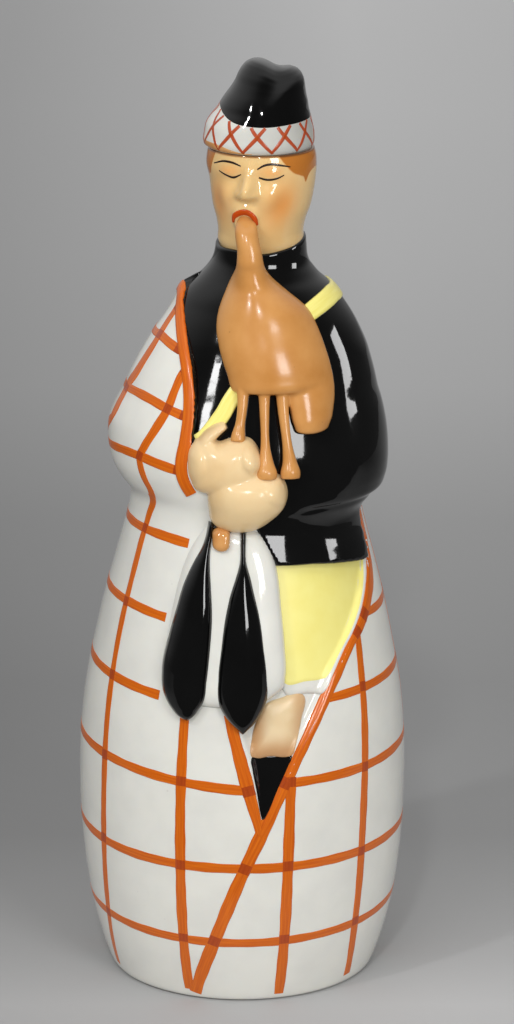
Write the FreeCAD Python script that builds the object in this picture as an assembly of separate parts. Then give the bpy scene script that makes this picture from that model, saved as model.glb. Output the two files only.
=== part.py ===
import FreeCAD, Part
import math
import os

# A figural liquor decanter: a piper wrapped in a plaid. It is slip-cast in pieces that are luted
# together and glazed, and the hat is its stopper, which lifts out of the head on a sleeve of cork.
# Millimetres. +Z is up, the piper faces -Y, and the origin is on the table at the middle of the foot.

# Lower body: outer radius of the round wrapped plaid, and the heights where it is given
foot_radius = 38.3
calf_radius = 44.0
belly_radius = 47.0
hip_radius = 42.6
waist_radius = 33.0
calf_height = 22.0
belly_height = 57.0
hip_height = 98.0
waist_height = 138.0
body_wall = 4.5
body_floor = 6.0
foot_edge_round = 1.2
foot_ring_width = 7.0
foot_hollow_depth = 2.5

# Torso: half widths and half depths of its oval sections
waist_seam_half_width = 32.8
waist_seam_half_depth = 31.5
elbow_half_width = 38.7
elbow_half_depth = 33.2
upper_arm_half_width = 35.2
upper_arm_half_depth = 28.5
chest_half_width = 30.6
chest_half_depth = 24.5
shoulder_half_width = 21.2
shoulder_half_depth = 17.4
collar_half_width = 13.0
collar_half_depth = 12.8
torso_height = 75.5
torso_wall = 4.0

# Head: half widths and half depths of its oval sections, and its lean towards +X
head_lean = 5.4
jaw_half_width = 12.1
jaw_half_depth = 14.5
cheek_half_width = 14.5
cheek_half_depth = 16.2
temple_half_width = 15.4
temple_half_depth = 16.2
head_height = 27.0
head_wall = 3.2
face_turn = 14.0
nose_width = 5.4
nose_length = 8.0
nose_lift = 3.0

# Mouth of the vessel, cork and stopper
mouth_radius = 9.0
mouth_length = 19.0
mouth_step = 0.8
running_clearance = 0.05
hat_clearance = 0.3
plug_radius = 6.5
plug_length = 18.0
plug_drain_radius = 3.5
plug_roof = 3.0
flange_radius = 11.0
flange_thickness = 3.0
cork_length = 15.0

# Hat: a soft cap with a band and a crown that is pinched along the middle
band_half_width = 15.5
band_half_depth = 16.5
crown_half_width = 11.0
crown_half_depth = 12.6
band_height = 9.0
hat_height = 24.2
hat_wall = 3.6
crown_lean = 3.3
pinch_rise = 0.9
hump_difference = 2.0

# Plaid over the left arm, belt and jacket skirt
drape_thickness = 1.5
drape_border = 16.6
sash_width = 5.2
sash_thickness = 1.0
sash_slope = 46.5
sash_offset = 13.6
sash_drop = 17.0
skirt_thickness = 0.8
skirt_drop = 14.5

# Recess where the plaid falls open, and the kilt, knee and stocking in it
recess_depth = 2.4
recess_width = 38.0
recess_length = 72.8
recess_drop = 8.0
recess_edge_clearance = 0.4
kilt_thickness = 1.5
kilt_length = 35.6
knee_thickness = 2.0
knee_length = 17.6
stocking_thickness = 1.5

# Pipes
bag_lift = 8.0
bag_width = 30.4
bag_length = 35.6
bag_drop = 2.0
tail_width = 12.0
tail_length = 17.0
blowpipe_tip_radius = 3.0
blowpipe_stock_radius = 5.4
blowpipe_rise = 9.5
drone_radius = 1.9
drone_bell_radius = 2.9
drone_spacing = 6.2
short_drone_length = 12.5
middle_drone_length = 22.8
long_drone_length = 22.4

# Hands and purse
upper_hand_lift = 6.0
upper_hand_width = 19.8
upper_hand_height = 16.8
upper_hand_rise = 14.2
lower_hand_lift = 6.5
lower_hand_width = 22.0
lower_hand_height = 15.6
lower_hand_rise = 1.6
sporran_lift = 3.0
sporran_width = 34.8
sporran_length = 47.0
sporran_drop = 1.0
tassel_width = 11.6
tassel_length = 49.0
tassel_lift = 3.0
tassel_spacing = 9.6
clasp_radius = 2.8

collar_height = waist_height + torso_height
head_rim = collar_height + head_height
hat_base = head_rim + hat_clearance
pad_root = 3.0
beyond = 5.0
reach = 2 * belly_radius
section_points = 14
section_count = 10


# Curves that give the vessel's outer surface

def smooth(stations, at):
    """Value at a height of a smooth curve through (height, value) stations."""
    last = len(stations) - 1
    runs = []
    for (low, value), (high, next_value) in zip(stations, stations[1:]):
        runs.append((next_value - value) / (high - low))
    slopes = []
    for i in range(1, last):
        below = stations[i][0] - stations[i - 1][0]
        above = stations[i + 1][0] - stations[i][0]
        slopes.append((runs[i - 1] * above + runs[i] * below) / (above + below))
    slopes = [2 * runs[0] - slopes[0]] + slopes + [2 * runs[-1] - slopes[-1]]
    at = min(max(at, stations[0][0]), stations[-1][0])
    i = max(k for k in range(last) if at >= stations[k][0])
    step = stations[i + 1][0] - stations[i][0]
    t = (at - stations[i][0]) / step
    start = (2 * t - 3) * t * t + 1
    return (start * stations[i][1] + (1 - start) * stations[i + 1][1]
            + (t - 1) ** 2 * t * step * slopes[i] + (t - 1) * t * t * step * slopes[i + 1])


BODY = [(0, foot_radius), (calf_height, calf_radius), (belly_height, belly_radius),
        (hip_height, hip_radius), (waist_height, waist_radius)]

# Each torso section: rise above the waist as a share of the torso, shift to +X, half width, half depth
TORSO = [(0.00, 1.8, waist_seam_half_width, waist_seam_half_depth),
         (0.07, 4.2, elbow_half_width - 3.7, elbow_half_depth - 0.2),
         (0.22, 2.9, elbow_half_width, elbow_half_depth),
         (0.45, 3.3, upper_arm_half_width, upper_arm_half_depth),
         (0.61, 4.7, chest_half_width, chest_half_depth),
         (0.82, 5.0, shoulder_half_width, shoulder_half_depth),
         (0.92, 5.2, collar_half_width + 1.0, collar_half_depth + 0.5),
         (1.00, head_lean, collar_half_width, collar_half_depth)]

# Each head section: rise above the collar as a share of the head, half width, half depth
HEAD = [(0.00, jaw_half_width + 0.2, jaw_half_depth - 1.3),
        (0.14, jaw_half_width, jaw_half_depth),
        (0.56, cheek_half_width, cheek_half_depth),
        (0.86, temple_half_width, temple_half_depth),
        (1.00, temple_half_width - 0.2, temple_half_depth - 0.2)]


def body_radius(z):
    """Outer radius of the lower body at a height."""
    return smooth(BODY, z)


def torso_section(z):
    """Shift, half width and half depth of the torso at a height."""
    share = (z - waist_height) / torso_height
    return [smooth([(row[0], row[k]) for row in TORSO], share) for k in (1, 2, 3)]


def head_section(z):
    """Shift, half width and half depth of the head at a height."""
    share = (z - collar_height) / head_height
    return [head_lean] + [smooth([(row[0], row[k]) for row in HEAD], share) for k in (1, 2)]


def oval_front(section, x):
    """The y of the front of an oval section at x."""
    shift, half_width, half_depth = section
    off = min(abs(x - shift) / half_width, 0.97)
    return -half_depth * math.sqrt(1 - off * off)


def body_front(x, z):
    """The y of the lower body's front surface."""
    radius = body_radius(z)
    return oval_front((0, radius, radius), x)


def torso_front(x, z):
    """The y of the torso's front surface."""
    return oval_front(torso_section(z), x)


# Solids from sections and outlines

def closed_wire(points):
    """A smooth closed wire through points."""
    curve = Part.BSplineCurve()
    curve.interpolate(Points=points, PeriodicFlag=True)
    return Part.Wire([curve.toShape()])


def oval(shift, half_width, half_depth, z, saddle=0.0, tilt=0.0, y=0.0):
    """A level oval wire, or one with its two sides raised and one of them higher."""
    points = []
    for k in range(section_points):
        a = 2 * math.pi * k / section_points
        height = z + saddle * math.cos(2 * a) + tilt * math.cos(a)
        points.append(FreeCAD.Vector(shift + half_width * math.cos(a), y + half_depth * math.sin(a), height))
    return closed_wire(points)


def stack(section, low, high, grow=0.0):
    """A solid through the oval sections between two heights, grown outwards."""
    wires = []
    for k in range(section_count + 1):
        z = low + (high - low) * k / section_count
        shift, half_width, half_depth = section(z)
        wires.append(oval(shift, half_width + grow, half_depth + grow, z))
    return Part.makeLoft(wires, True, False)


def turned_body(grow):
    """The lower body as a full solid of revolution, its radius grown by a distance."""
    points = []
    for k in range(section_count + 1):
        z = waist_height * k / section_count
        points.append(FreeCAD.Vector(body_radius(z) + grow, 0, z))
    side = Part.BSplineCurve()
    side.interpolate(points)
    axis_top = FreeCAD.Vector(0, 0, waist_height)
    edges = [side.toShape(), Part.makeLine(points[-1], axis_top),
             Part.makeLine(axis_top, FreeCAD.Vector()), Part.makeLine(FreeCAD.Vector(), points[0])]
    return Part.Face(Part.Wire(edges)).revolve(FreeCAD.Vector(), FreeCAD.Vector(0, 0, 1), 360)


def cylinder(radius, low, high):
    """An upright cylinder on the axis of the head and the stopper."""
    return Part.makeCylinder(radius, high - low, FreeCAD.Vector(head_lean, 0, low))


def prism(outline, near, far):
    """A straight-sided outline of (x, z) points, drawn out along Y from near to far."""
    points = [FreeCAD.Vector(x, near, z) for x, z in outline]
    face = Part.Face(Part.makePolygon(points + points[:1]))
    return face.extrude(FreeCAD.Vector(0, far - near, 0))


def pad(sections, front, lift):
    """A rounded pad of clay on a surface: level ovals given by their height, middle and half width."""
    widest = max(half_width for _, _, half_width in sections)
    wires = []
    for z, x, half_width in sections:
        depth = pad_root + lift * math.sqrt(half_width / widest)
        wires.append(oval(x, half_width, depth, z, y=front(x, z) + pad_root))
    return Part.makeLoft(wires, True, False)


def placed(shares, x, z, width, length):
    """Outline points given as shares of a width and a length, placed below a point."""
    return [(x + width * across, z - length * down) for across, down in shares]


def padded(shares, x, z, width, length, front, lift):
    """A pad whose ovals are given as shares: down from a point, across, and half width."""
    sections = [(z - length * down, x + width * across, width * half) for down, across, half in shares]
    return pad(sections, front, lift)


def laid_on(piece, *under):
    """What is left of a piece after the pieces that it is laid on."""
    for other in under:
        piece = piece.cut(other)
    return max(piece.Solids, key=lambda solid: solid.Volume)


# The vessel: lower body, torso and head

def make_lower_body(body):
    """Round hollow lower body with a foot ring, open at the waist, with the kilt's recess in front."""
    floor_level = foot_hollow_depth + body_floor
    hollow = turned_body(-body_wall).cut(Part.makeBox(
        2 * reach, 2 * reach, floor_level, FreeCAD.Vector(-reach, -reach, 0)))
    ring_inside = foot_radius - foot_ring_width
    foot_hollow = Part.makeCone(ring_inside, ring_inside - foot_hollow_depth, foot_hollow_depth)
    shell = body.cut(hollow).cut(foot_hollow)
    flat = [e for e in shell.Edges if e.BoundBox.ZMax < foot_edge_round / 10]
    rim = [e for e in flat if e.BoundBox.XMax > ring_inside + foot_ring_width / 2]
    return shell.makeFillet(foot_edge_round, rim)


def make_torso(torso):
    """Hollow torso with both upper arms, open at the waist and at the collar."""
    hollow = stack(torso_section, waist_height, collar_height, -torso_wall)
    return torso.cut(hollow)


def make_head(head):
    """Hollow head on the collar, with the bore for the stopper in its flat top."""
    chamber_top = head_rim - mouth_length
    wires = [oval(head_lean, w - head_wall, d - head_wall, z) for (_, w, d), z in
             [(head_section(collar_height), collar_height),
              (head_section((collar_height + chamber_top) / 2), (collar_height + chamber_top) / 2)]]
    wires.append(oval(head_lean, mouth_radius + mouth_step, mouth_radius + mouth_step, chamber_top))
    chamber = Part.makeLoft(wires, True, False)
    bore = cylinder(mouth_radius, chamber_top - mouth_step, head_rim + beyond)
    return head.cut(chamber).cut(bore)


def make_nose():
    """Nose, turned to the piper's right as the face is."""
    middle = collar_height + 0.66 * head_height
    sections = [(middle + nose_length * share, 0.0, nose_width * width) for share, width in
                ((-0.5, 0.3), (-0.36, 0.5), (-0.1, 0.36), (0.2, 0.24), (0.5, 0.1))]
    nose = pad(sections, lambda x, z: -head_section(z)[2], nose_lift)
    nose.rotate(FreeCAD.Vector(), FreeCAD.Vector(0, 0, 1), -face_turn)
    nose.translate(FreeCAD.Vector(head_lean, 0, 0))
    return nose


# The stopper: hat, plug and cork

def make_hat():
    """Soft cap with a rolled band; the crown leans and is pinched into two humps."""
    crown = hat_height - pinch_rise - hump_difference / 2
    rise = crown - band_height
    tilt = -hump_difference / 2
    x = head_lean - 0.4
    wires = [oval(x, band_half_width - 0.8, band_half_depth - 0.8, hat_base),
             oval(x, band_half_width, band_half_depth, hat_base + band_height * 0.25),
             oval(x, band_half_width - 0.4, band_half_depth - 0.4, hat_base + band_height * 0.6),
             oval(x + 0.1 * crown_lean, band_half_width - 1.7, band_half_depth - 1.6, hat_base + band_height,
                  0, 0.3 * tilt),
             oval(x + 0.3 * crown_lean, crown_half_width + 1.6, crown_half_depth + 1.4,
                  hat_base + band_height + 0.2 * rise, 0.2 * pinch_rise, 0.8 * tilt),
             oval(x + 0.6 * crown_lean, crown_half_width, crown_half_depth,
                  hat_base + band_height + 0.5 * rise, 0.5 * pinch_rise, 0.8 * tilt),
             oval(x + 0.85 * crown_lean, crown_half_width - 1.7, crown_half_depth - 1.4,
                  hat_base + band_height + 0.8 * rise, 0.9 * pinch_rise, 0.9 * tilt),
             oval(x + crown_lean, crown_half_width - 4.1, crown_half_depth - 3.6,
                  hat_base + crown, pinch_rise, tilt),
             oval(x + crown_lean, crown_half_width - 7.8, crown_half_depth - 7.6,
                  hat_base + crown, 0.8 * pinch_rise, 0.7 * tilt)]
    tip = Part.Vertex(x + crown_lean, 0, hat_base + crown - 0.7)
    cap = Part.makeLoft(wires + [tip], True, False)
    hollow = Part.makeLoft([
        oval(head_lean, flange_radius - 1.0, flange_radius - 1.0, hat_base + flange_thickness),
        oval(head_lean, flange_radius - 1.2, flange_radius - 1.0, hat_base + band_height),
        oval(x + 0.6 * crown_lean, crown_half_width - hat_wall, crown_half_depth - hat_wall,
             hat_base + band_height + 0.5 * rise)], True, False)
    seat = cylinder(flange_radius, hat_base - beyond, hat_base + flange_thickness)
    return cap.cut(hollow).cut(seat)


def make_plug():
    """Flange that closes the hat, with the hollow plug that holds the cork."""
    flange = cylinder(flange_radius, hat_base, hat_base + flange_thickness)
    stem = cylinder(plug_radius, hat_base - plug_length, hat_base)
    drain = cylinder(plug_drain_radius, hat_base - plug_length, hat_base - plug_roof)
    return flange.fuse(stem).cut(drain).removeSplitter()


def make_cork():
    """Cork sleeve round the plug, a close fit in the mouth."""
    top = hat_base - hat_clearance
    outside = cylinder(mouth_radius - running_clearance, top - cork_length, top)
    inside = cylinder(plug_radius + running_clearance, top - cork_length, top)
    return outside.cut(inside)


# Clothes laid on the body

def make_drape(torso):
    """Loose end of the plaid over the left arm, front and back."""
    border = [(0.57, 1.00), (0.72, 0.88), (1.01, 0.82), (1.00, 0.75), (0.81, 0.66), (0.76, 0.56),
              (0.83, 0.45), (0.89, 0.32), (0.94, 0.15)]
    outline = placed(border, 0, collar_height, -drape_border, torso_height)
    outside = [(-reach, outline[-1][1]), (-reach, waist_height)]
    grown = stack(torso_section, waist_height, collar_height, drape_thickness)
    return laid_on(grown.common(prism(outline + outside, -reach, reach)), torso)


def make_sash(torso, drape):
    """Flat belt over the right shoulder, across the chest and the back to the left hip."""
    slab = Part.makeBox(2 * reach, 2 * reach, sash_width, FreeCAD.Vector(-reach, -reach, -sash_width / 2))
    slab.rotate(FreeCAD.Vector(), FreeCAD.Vector(0, 1, 0), -sash_slope)
    slab.translate(FreeCAD.Vector(head_lean + sash_offset, 0, collar_height - sash_drop))
    grown = stack(torso_section, waist_height, collar_height, sash_thickness)
    return laid_on(grown.common(slab), torso, drape)


def make_skirt(body):
    """Lower edge of the short jacket on the piper's left hip."""
    shares = [(0.145, 0), (0.30, 0.66), (0.66, 0.68), (1.09, 1.0), (0.975, 0)]
    outline = placed(shares, 0, waist_height, waist_radius, skirt_drop)
    return laid_on(turned_body(skirt_thickness).common(prism(outline, -reach, 0)), body)


# Sides of the recess from its top down, as shares of its width and length
RECESS_LEFT = [(0.237, 0.0), (-0.04, 0.563), (0.063, 0.749), (0.147, 1.0)]
RECESS_RIGHT = [(0.83, 0.0), (0.958, 0.103), (0.947, 0.206), (0.689, 0.449), (0.429, 0.714), (0.174, 1.0)]


def in_recess(shares, thickness):
    """A panel of clay on the floor of the kilt's recess."""
    outline = placed(shares, 0, waist_height - recess_drop, recess_width, recess_length)
    panel = turned_body(thickness - recess_depth).common(prism(outline, -reach, 0))
    return laid_on(panel, turned_body(-recess_depth))


def side_at(side, down, inset):
    """Point on a side of the recess at a share of its length, set in from the edge."""
    k = max(i for i in range(len(side) - 1) if down >= side[i][1])
    t = (down - side[k][1]) / (side[k + 1][1] - side[k][1])
    return (side[k][0] + t * (side[k + 1][0] - side[k][0]) + inset / recess_width, down)


def make_recess(body):
    """The clay that is missing where the plaid falls open over the leg."""
    shares = RECESS_RIGHT + RECESS_LEFT[::-1]
    outline = placed(shares, 0, waist_height - recess_drop, recess_width, recess_length)
    return body.common(prism(outline, -reach, 0)).cut(turned_body(-recess_depth))


def make_kilt():
    """Front of the kilt that shows between the jacket and the knee."""
    hem = kilt_length / recess_length
    right = [side_at(RECESS_RIGHT, down, -recess_edge_clearance) for down in (0.02, 0.103, 0.206, hem)]
    return in_recess([(0.253, 0.02)] + right + [(0.326, hem), (0.276, 0.158)], kilt_thickness)


def make_knee():
    """Bare knee below the kilt."""
    top = (kilt_length + recess_edge_clearance) / recess_length
    foot = top + knee_length / recess_length
    return in_recess([(0.095, top), (0.458, top), (0.416, (top + foot) / 2),
                      (0.353, foot), side_at(RECESS_LEFT, foot, recess_edge_clearance)], knee_thickness)


def make_stocking():
    """Top of the stocking below the knee."""
    top = (kilt_length + knee_length + 2 * recess_edge_clearance) / recess_length
    tip = 1 - 3 * recess_edge_clearance / recess_length
    return in_recess([side_at(RECESS_LEFT, top, recess_edge_clearance), (0.353, top),
                      side_at(RECESS_RIGHT, tip, -recess_edge_clearance),
                      side_at(RECESS_LEFT, tip, recess_edge_clearance)], stocking_thickness)


# Pipes, hands and purse

def make_bag(*under):
    """Wind bag on the chest: narrow at the blowpipe, full below, with a tail at the piper's left."""
    top = collar_height - bag_drop
    shares = [(0.0, 0.09, 0.11), (0.17, 0.14, 0.25), (0.34, 0.20, 0.39), (0.53, 0.25, 0.48),
              (0.73, 0.30, 0.50), (0.90, 0.34, 0.48), (1.0, 0.36, 0.42)]
    main = padded(shares, 0, top, bag_width, bag_length, torso_front, bag_lift)
    tail_shares = [(0.0, -0.12, 0.43), (0.41, -0.03, 0.50), (0.76, 0.02, 0.43), (1.0, 0.0, 0.20)]
    tail = padded(tail_shares, 0.65 * bag_width, top - 0.79 * bag_length, tail_width, tail_length,
                  torso_front, bag_lift)
    return laid_on(main.fuse(tail), *under)


def make_blowpipe(*under):
    """Tapered pipe from the lips down to the stock of the bag."""
    lips = FreeCAD.Vector(head_lean - 4.2, -temple_half_depth - 2.0, collar_height + blowpipe_rise)
    stock_z = collar_height - bag_drop - 0.2 * bag_length
    stock = FreeCAD.Vector(head_lean - 2.8, torso_front(head_lean, stock_z) - 2.4, stock_z)
    line = lips - stock
    pipe = Part.makeCone(blowpipe_stock_radius, blowpipe_tip_radius, line.Length, stock, line)
    return laid_on(pipe, *under)


def make_drone(top_x, foot_x, length, *under):
    """Short pipe below the bag with a bell at its foot."""
    top_z = collar_height - bag_drop - 0.95 * bag_length
    foot_z = top_z - length
    top = FreeCAD.Vector(top_x, torso_front(top_x, top_z) - drone_radius, top_z)
    foot = FreeCAD.Vector(foot_x, torso_front(foot_x, foot_z) - 2 * drone_radius, foot_z)
    neck = top + (foot - top) * 0.62
    pipe = Part.makeCylinder(drone_radius, (neck - top).Length, top, neck - top)
    bell = Part.makeCone(drone_radius, drone_bell_radius, (foot - neck).Length, neck, foot - neck)
    return laid_on(pipe.fuse(bell), *under)


def make_upper_hand(*under):
    """Hand that holds the pipes, fingers closed, thumb up."""
    shares = [(1.0, -0.27, 0.26), (0.83, -0.23, 0.45), (0.60, -0.21, 0.50), (0.36, -0.23, 0.44),
              (0.18, -0.32, 0.27), (0.0, -0.24, 0.09)]
    top = waist_height + upper_hand_rise + upper_hand_height
    hand = padded(shares, 0, top, upper_hand_width, upper_hand_height, torso_front, upper_hand_lift)
    return laid_on(hand, *under)


def make_lower_hand(*under):
    """Hand below it, laid on the pipes."""
    shares = [(1.0, -0.02, 0.16), (0.81, 0.02, 0.37), (0.55, 0.08, 0.48), (0.29, 0.09, 0.50),
              (0.10, 0.10, 0.39), (0.0, 0.14, 0.18)]
    top = waist_height + lower_hand_rise + lower_hand_height
    hand = padded(shares, 0, top, lower_hand_width, lower_hand_height, torso_front, lower_hand_lift)
    return laid_on(hand, *under)


def make_sporran(body):
    """Hair purse that hangs from the waist."""
    shares = [(-0.26, 0.0), (0.13, 0.0), (0.235, 0.10), (0.29, 0.245), (0.34, 0.575), (0.365, 0.87),
              (0.27, 0.965), (0.085, 1.0), (-0.49, 0.99), (-0.635, 0.945), (-0.62, 0.745), (-0.535, 0.395),
              (-0.38, 0.065)]
    outline = placed(shares, 0, waist_height - sporran_drop, sporran_width, sporran_length)
    return laid_on(turned_body(sporran_lift).common(prism(outline, -reach, 0)), body)


def sporran_front(x, z):
    """The y of the purse's front surface."""
    return body_front(x, z) - sporran_lift


def make_tassel(top_x, lean, *under):
    """Hair tassel on its cord, in front of the purse: full below and rounded at the tip."""
    shares = []
    for down in (0.02, 0.12, 0.28, 0.46, 0.64, 0.80, 0.91, 0.98):
        swell = math.sqrt(1 - (1 - down) ** 2) * math.sqrt(1 - down ** 10)
        shares.append((down, lean * down, swell / 2))
    tassel = padded(shares, top_x, waist_height - 3 * sporran_drop, tassel_width, tassel_length,
                    sporran_front, tassel_lift)
    return laid_on(tassel, *under)


def make_clasp(*under):
    """Round knob of the purse between the two cords."""
    x = -0.48 * tassel_spacing
    z = waist_height - sporran_drop - 1.15 * clasp_radius
    return laid_on(Part.makeSphere(clasp_radius, FreeCAD.Vector(x, sporran_front(x, z), z)), *under)


def build():
    """Make every piece, each cut back by what it is laid on."""
    body = turned_body(0)
    torso = stack(torso_section, waist_height, collar_height)
    head = stack(head_section, collar_height, head_rim)
    pieces = {}
    recess = make_recess(body)
    pieces["lower_body"] = make_lower_body(body).cut(recess)
    pieces["torso"] = make_torso(torso)
    head = head.fuse(make_nose())
    pieces["head"] = make_head(head)
    pieces["hat"] = make_hat()
    pieces["stopper_plug"] = make_plug()
    pieces["cork_sleeve"] = make_cork()
    drape = pieces["cloak_drape"] = make_drape(torso)
    sash = pieces["sash"] = make_sash(torso, drape)
    skirt = pieces["jacket_skirt"] = make_skirt(body)
    pieces["kilt"] = laid_on(make_kilt(), skirt)
    pieces["knee"] = make_knee()
    pieces["stocking"] = make_stocking()
    bag = pieces["bag"] = make_bag(torso, sash)
    pieces["blowpipe"] = make_blowpipe(torso, head, bag)
    upper = pieces["upper_hand"] = make_upper_hand(torso, drape, sash, bag)
    lower = pieces["lower_hand"] = make_lower_hand(torso, drape, upper)
    drones = (("short_drone", -0.1, -0.1, short_drone_length),
              ("middle_drone", 0.94, 1.13, middle_drone_length),
              ("long_drone", 1.89, 2.19, long_drone_length))
    for name, top_share, foot_share, length in drones:
        pieces[name] = make_drone(top_share * drone_spacing, foot_share * drone_spacing, length,
                                  torso, sash, bag, upper, lower)
    sporran = pieces["sporran"] = laid_on(make_sporran(body), skirt)
    clasp = pieces["sporran_clasp"] = make_clasp(body, sporran, lower)
    for name, top_share, lean in (("left_tassel", -0.96, -0.53), ("right_tassel", 0.04, -0.02)):
        pieces[name] = make_tassel(top_share * tassel_spacing, lean, body, sporran, clasp, lower)
    return pieces


os.makedirs("parts", exist_ok=True)
for name, shape in build().items():
    shape.exportStep("parts/%s.step" % name)
    print(name, len(shape.Solids), "solid, valid:", shape.isValid(), "volume mm3:", round(shape.Volume))
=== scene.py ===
"""Dressed scene of a figural liquor decanter: a glazed porcelain piper wrapped in a checked plaid."""

import logging
import math
from dataclasses import dataclass, field
from enum import Enum
from typing import Callable, Sequence

import bmesh
import bpy
import numpy as np
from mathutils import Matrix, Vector


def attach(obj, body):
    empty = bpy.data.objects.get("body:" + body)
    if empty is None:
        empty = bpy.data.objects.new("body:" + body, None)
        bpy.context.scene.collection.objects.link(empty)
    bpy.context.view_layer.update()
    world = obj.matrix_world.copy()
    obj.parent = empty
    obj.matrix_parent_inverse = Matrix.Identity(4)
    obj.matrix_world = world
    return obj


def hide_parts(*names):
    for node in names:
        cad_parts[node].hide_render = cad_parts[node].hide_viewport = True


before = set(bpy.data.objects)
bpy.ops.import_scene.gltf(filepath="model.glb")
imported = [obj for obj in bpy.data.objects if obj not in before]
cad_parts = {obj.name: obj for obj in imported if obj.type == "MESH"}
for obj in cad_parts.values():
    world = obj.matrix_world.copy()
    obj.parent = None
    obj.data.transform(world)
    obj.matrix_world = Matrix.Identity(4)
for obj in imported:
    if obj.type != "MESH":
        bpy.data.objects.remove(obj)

log = logging.getLogger("decanter")

MM = 0.001
MOUTH_X = 5.4
LEAST_HALF_WIDTH = 12.0

Array = np.ndarray
Tone = tuple[int, int, int]
Place = tuple[float, float, float]
Pairs = Sequence[tuple[float, ...]]
Lump = tuple[Array, list]
Stroke = tuple[Array, Array]
RiseRule = Callable[[Array, Array], Array]
Piece = bpy.types.Object
Material = bpy.types.Material
Socket = bpy.types.NodeSocket


class Body(Enum):
    """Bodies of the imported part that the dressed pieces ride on."""

    DECANTER = "decanter"
    STOPPER = "stopper"


class Slot(Enum):
    """Material slots of the record, one named for each dressed piece."""

    WHITE = "white_glaze"
    BLACK = "black_glaze"
    YELLOW = "yellow_glaze"
    FLESH = "flesh_glaze"
    TAN = "tan_glaze"
    BROWN = "brown_glaze"


def linear(red: int, green: int, blue: int) -> tuple[float, float, float, float]:
    """Linear colour of a display colour.

    Args:
        red, green, blue: display values from 0 to 255.

    Returns:
        Linear red, green, blue and an alpha of 1.
    """
    shares = [c / 255 for c in (red, green, blue)]
    light = [c / 12.92 if c <= 0.04045 else ((c + 0.055) / 1.055) ** 2.4 for c in shares]
    return (light[0], light[1], light[2], 1.0)


def ease(low: float, high: float, value: Array) -> Array:
    """Smooth step from 0 at low to 1 at high."""
    share = np.clip((np.asarray(value, float) - low) / (high - low), 0, 1)
    return share * share * (3 - 2 * share)


def hump(distance: Array, spread: float) -> Array:
    """Bell curve of a distance, 1 at zero."""
    return np.exp(-((np.asarray(distance, float) / spread) ** 2))


def signed_turn(turn: Array) -> Array:
    """Angle in degrees, brought to between -180 and 180."""
    return (np.asarray(turn, float) + 180) % 360 - 180


def angles_round(columns: int) -> Array:
    """Even angles of one full turn, in radians."""
    return np.linspace(0, 2 * math.pi, columns, endpoint=False)


def on_axis(height: float) -> Array:
    """Place on the axis of the decanter's mouth."""
    return np.array([MOUTH_X, 0.0, height])


def level_ring(turn: Array, radius: float, height: float, middle: float) -> Array:
    """Level circle of points.

    Args:
        turn: angles in degrees from the front.
        radius, height: its radius and height in millimetres.
        middle: sideways place of its middle.

    Returns:
        Places in millimetres.
    """
    angle = np.radians(turn)
    level = np.full(len(turn), height)
    return np.column_stack([middle + radius * np.sin(angle), -radius * np.cos(angle), level])


def run_along(points: Array) -> Array:
    """Distance along a line of points, from its first."""
    return np.concatenate([[0], np.cumsum(np.linalg.norm(np.diff(points, axis=0), axis=1))])


def through(knots: Pairs, at: Array) -> Array:
    """Smooth curve through knots.

    Args:
        knots: rows of an argument, rising, and one or more values.
        at: arguments to read the curve at.

    Returns:
        Values with one more axis than the arguments, for the columns.
    """
    table = np.asarray(knots, float)
    where, values = table[:, 0], table[:, 1:]
    slopes = np.gradient(values, where, axis=0)
    at = np.clip(np.asarray(at, float), where[0], where[-1])
    low = np.clip(np.searchsorted(where, at, side="right") - 1, 0, len(where) - 2)
    gap = (where[low + 1] - where[low])[..., None]
    share = (at - where[low])[..., None] / gap
    back = 1 - share
    start = values[low] * (1 + 2 * share) * back**2 + slopes[low] * gap * share * back**2
    end = values[low + 1] * (3 - 2 * share) * share**2 - slopes[low + 1] * gap * back * share**2
    return start + end


def drawn(points: Pairs, step: float) -> Array:
    """Smooth open line through points, evenly divided.

    Args:
        points: rows of two or more values; the first two are the place on the surface.
        step: spacing of the result along the first two columns.

    Returns:
        Rows with the same columns as the points.
    """
    table = np.asarray(points, float)
    run = run_along(table[:, :2])
    count = max(3, int(math.ceil(run[-1] / step)) + 1)
    knots = np.column_stack([run, table])
    return through(knots, np.linspace(0, run[-1], count))


def ring_of(points: Pairs, count: int) -> Array:
    """Smooth closed outline through points, evenly divided.

    Args:
        points: corners of the outline in order.
        count: number of points of the result.

    Returns:
        Array of count rows.
    """
    table = np.asarray(points, float)
    wrapped = np.vstack([table[-3:], table, table[:4]])
    run = run_along(wrapped)
    knots = np.column_stack([run, wrapped])
    span = np.linspace(run[3], run[3 + len(table)], count, endpoint=False)
    return through(knots, span)


def inside_by(corners: Array, points: Array) -> Array:
    """Distance of points from an outline, positive inside.

    Args:
        corners: corners of the outline.
        points: array whose last axis is the two coordinates.

    Returns:
        Signed distances.
    """
    nearest = np.full(points.shape[:-1], 1e9)
    inside = np.zeros(points.shape[:-1], bool)
    px, py = points[..., 0], points[..., 1]
    for start, end in zip(corners, np.roll(corners, -1, axis=0)):
        along = end - start
        share = ((px - start[0]) * along[0] + (py - start[1]) * along[1]) / (along @ along + 1e-12)
        share = np.clip(share, 0, 1)
        gap = np.hypot(px - start[0] - share * along[0], py - start[1] - share * along[1])
        nearest = np.minimum(nearest, gap)
        crosses = (start[1] > py) != (end[1] > py)
        rise = end[1] - start[1]
        at = start[0] + (py - start[1]) * along[0] / (rise if rise else 1e-12)
        inside ^= crosses & (px < at)
    return np.where(inside, nearest, -nearest)


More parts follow.
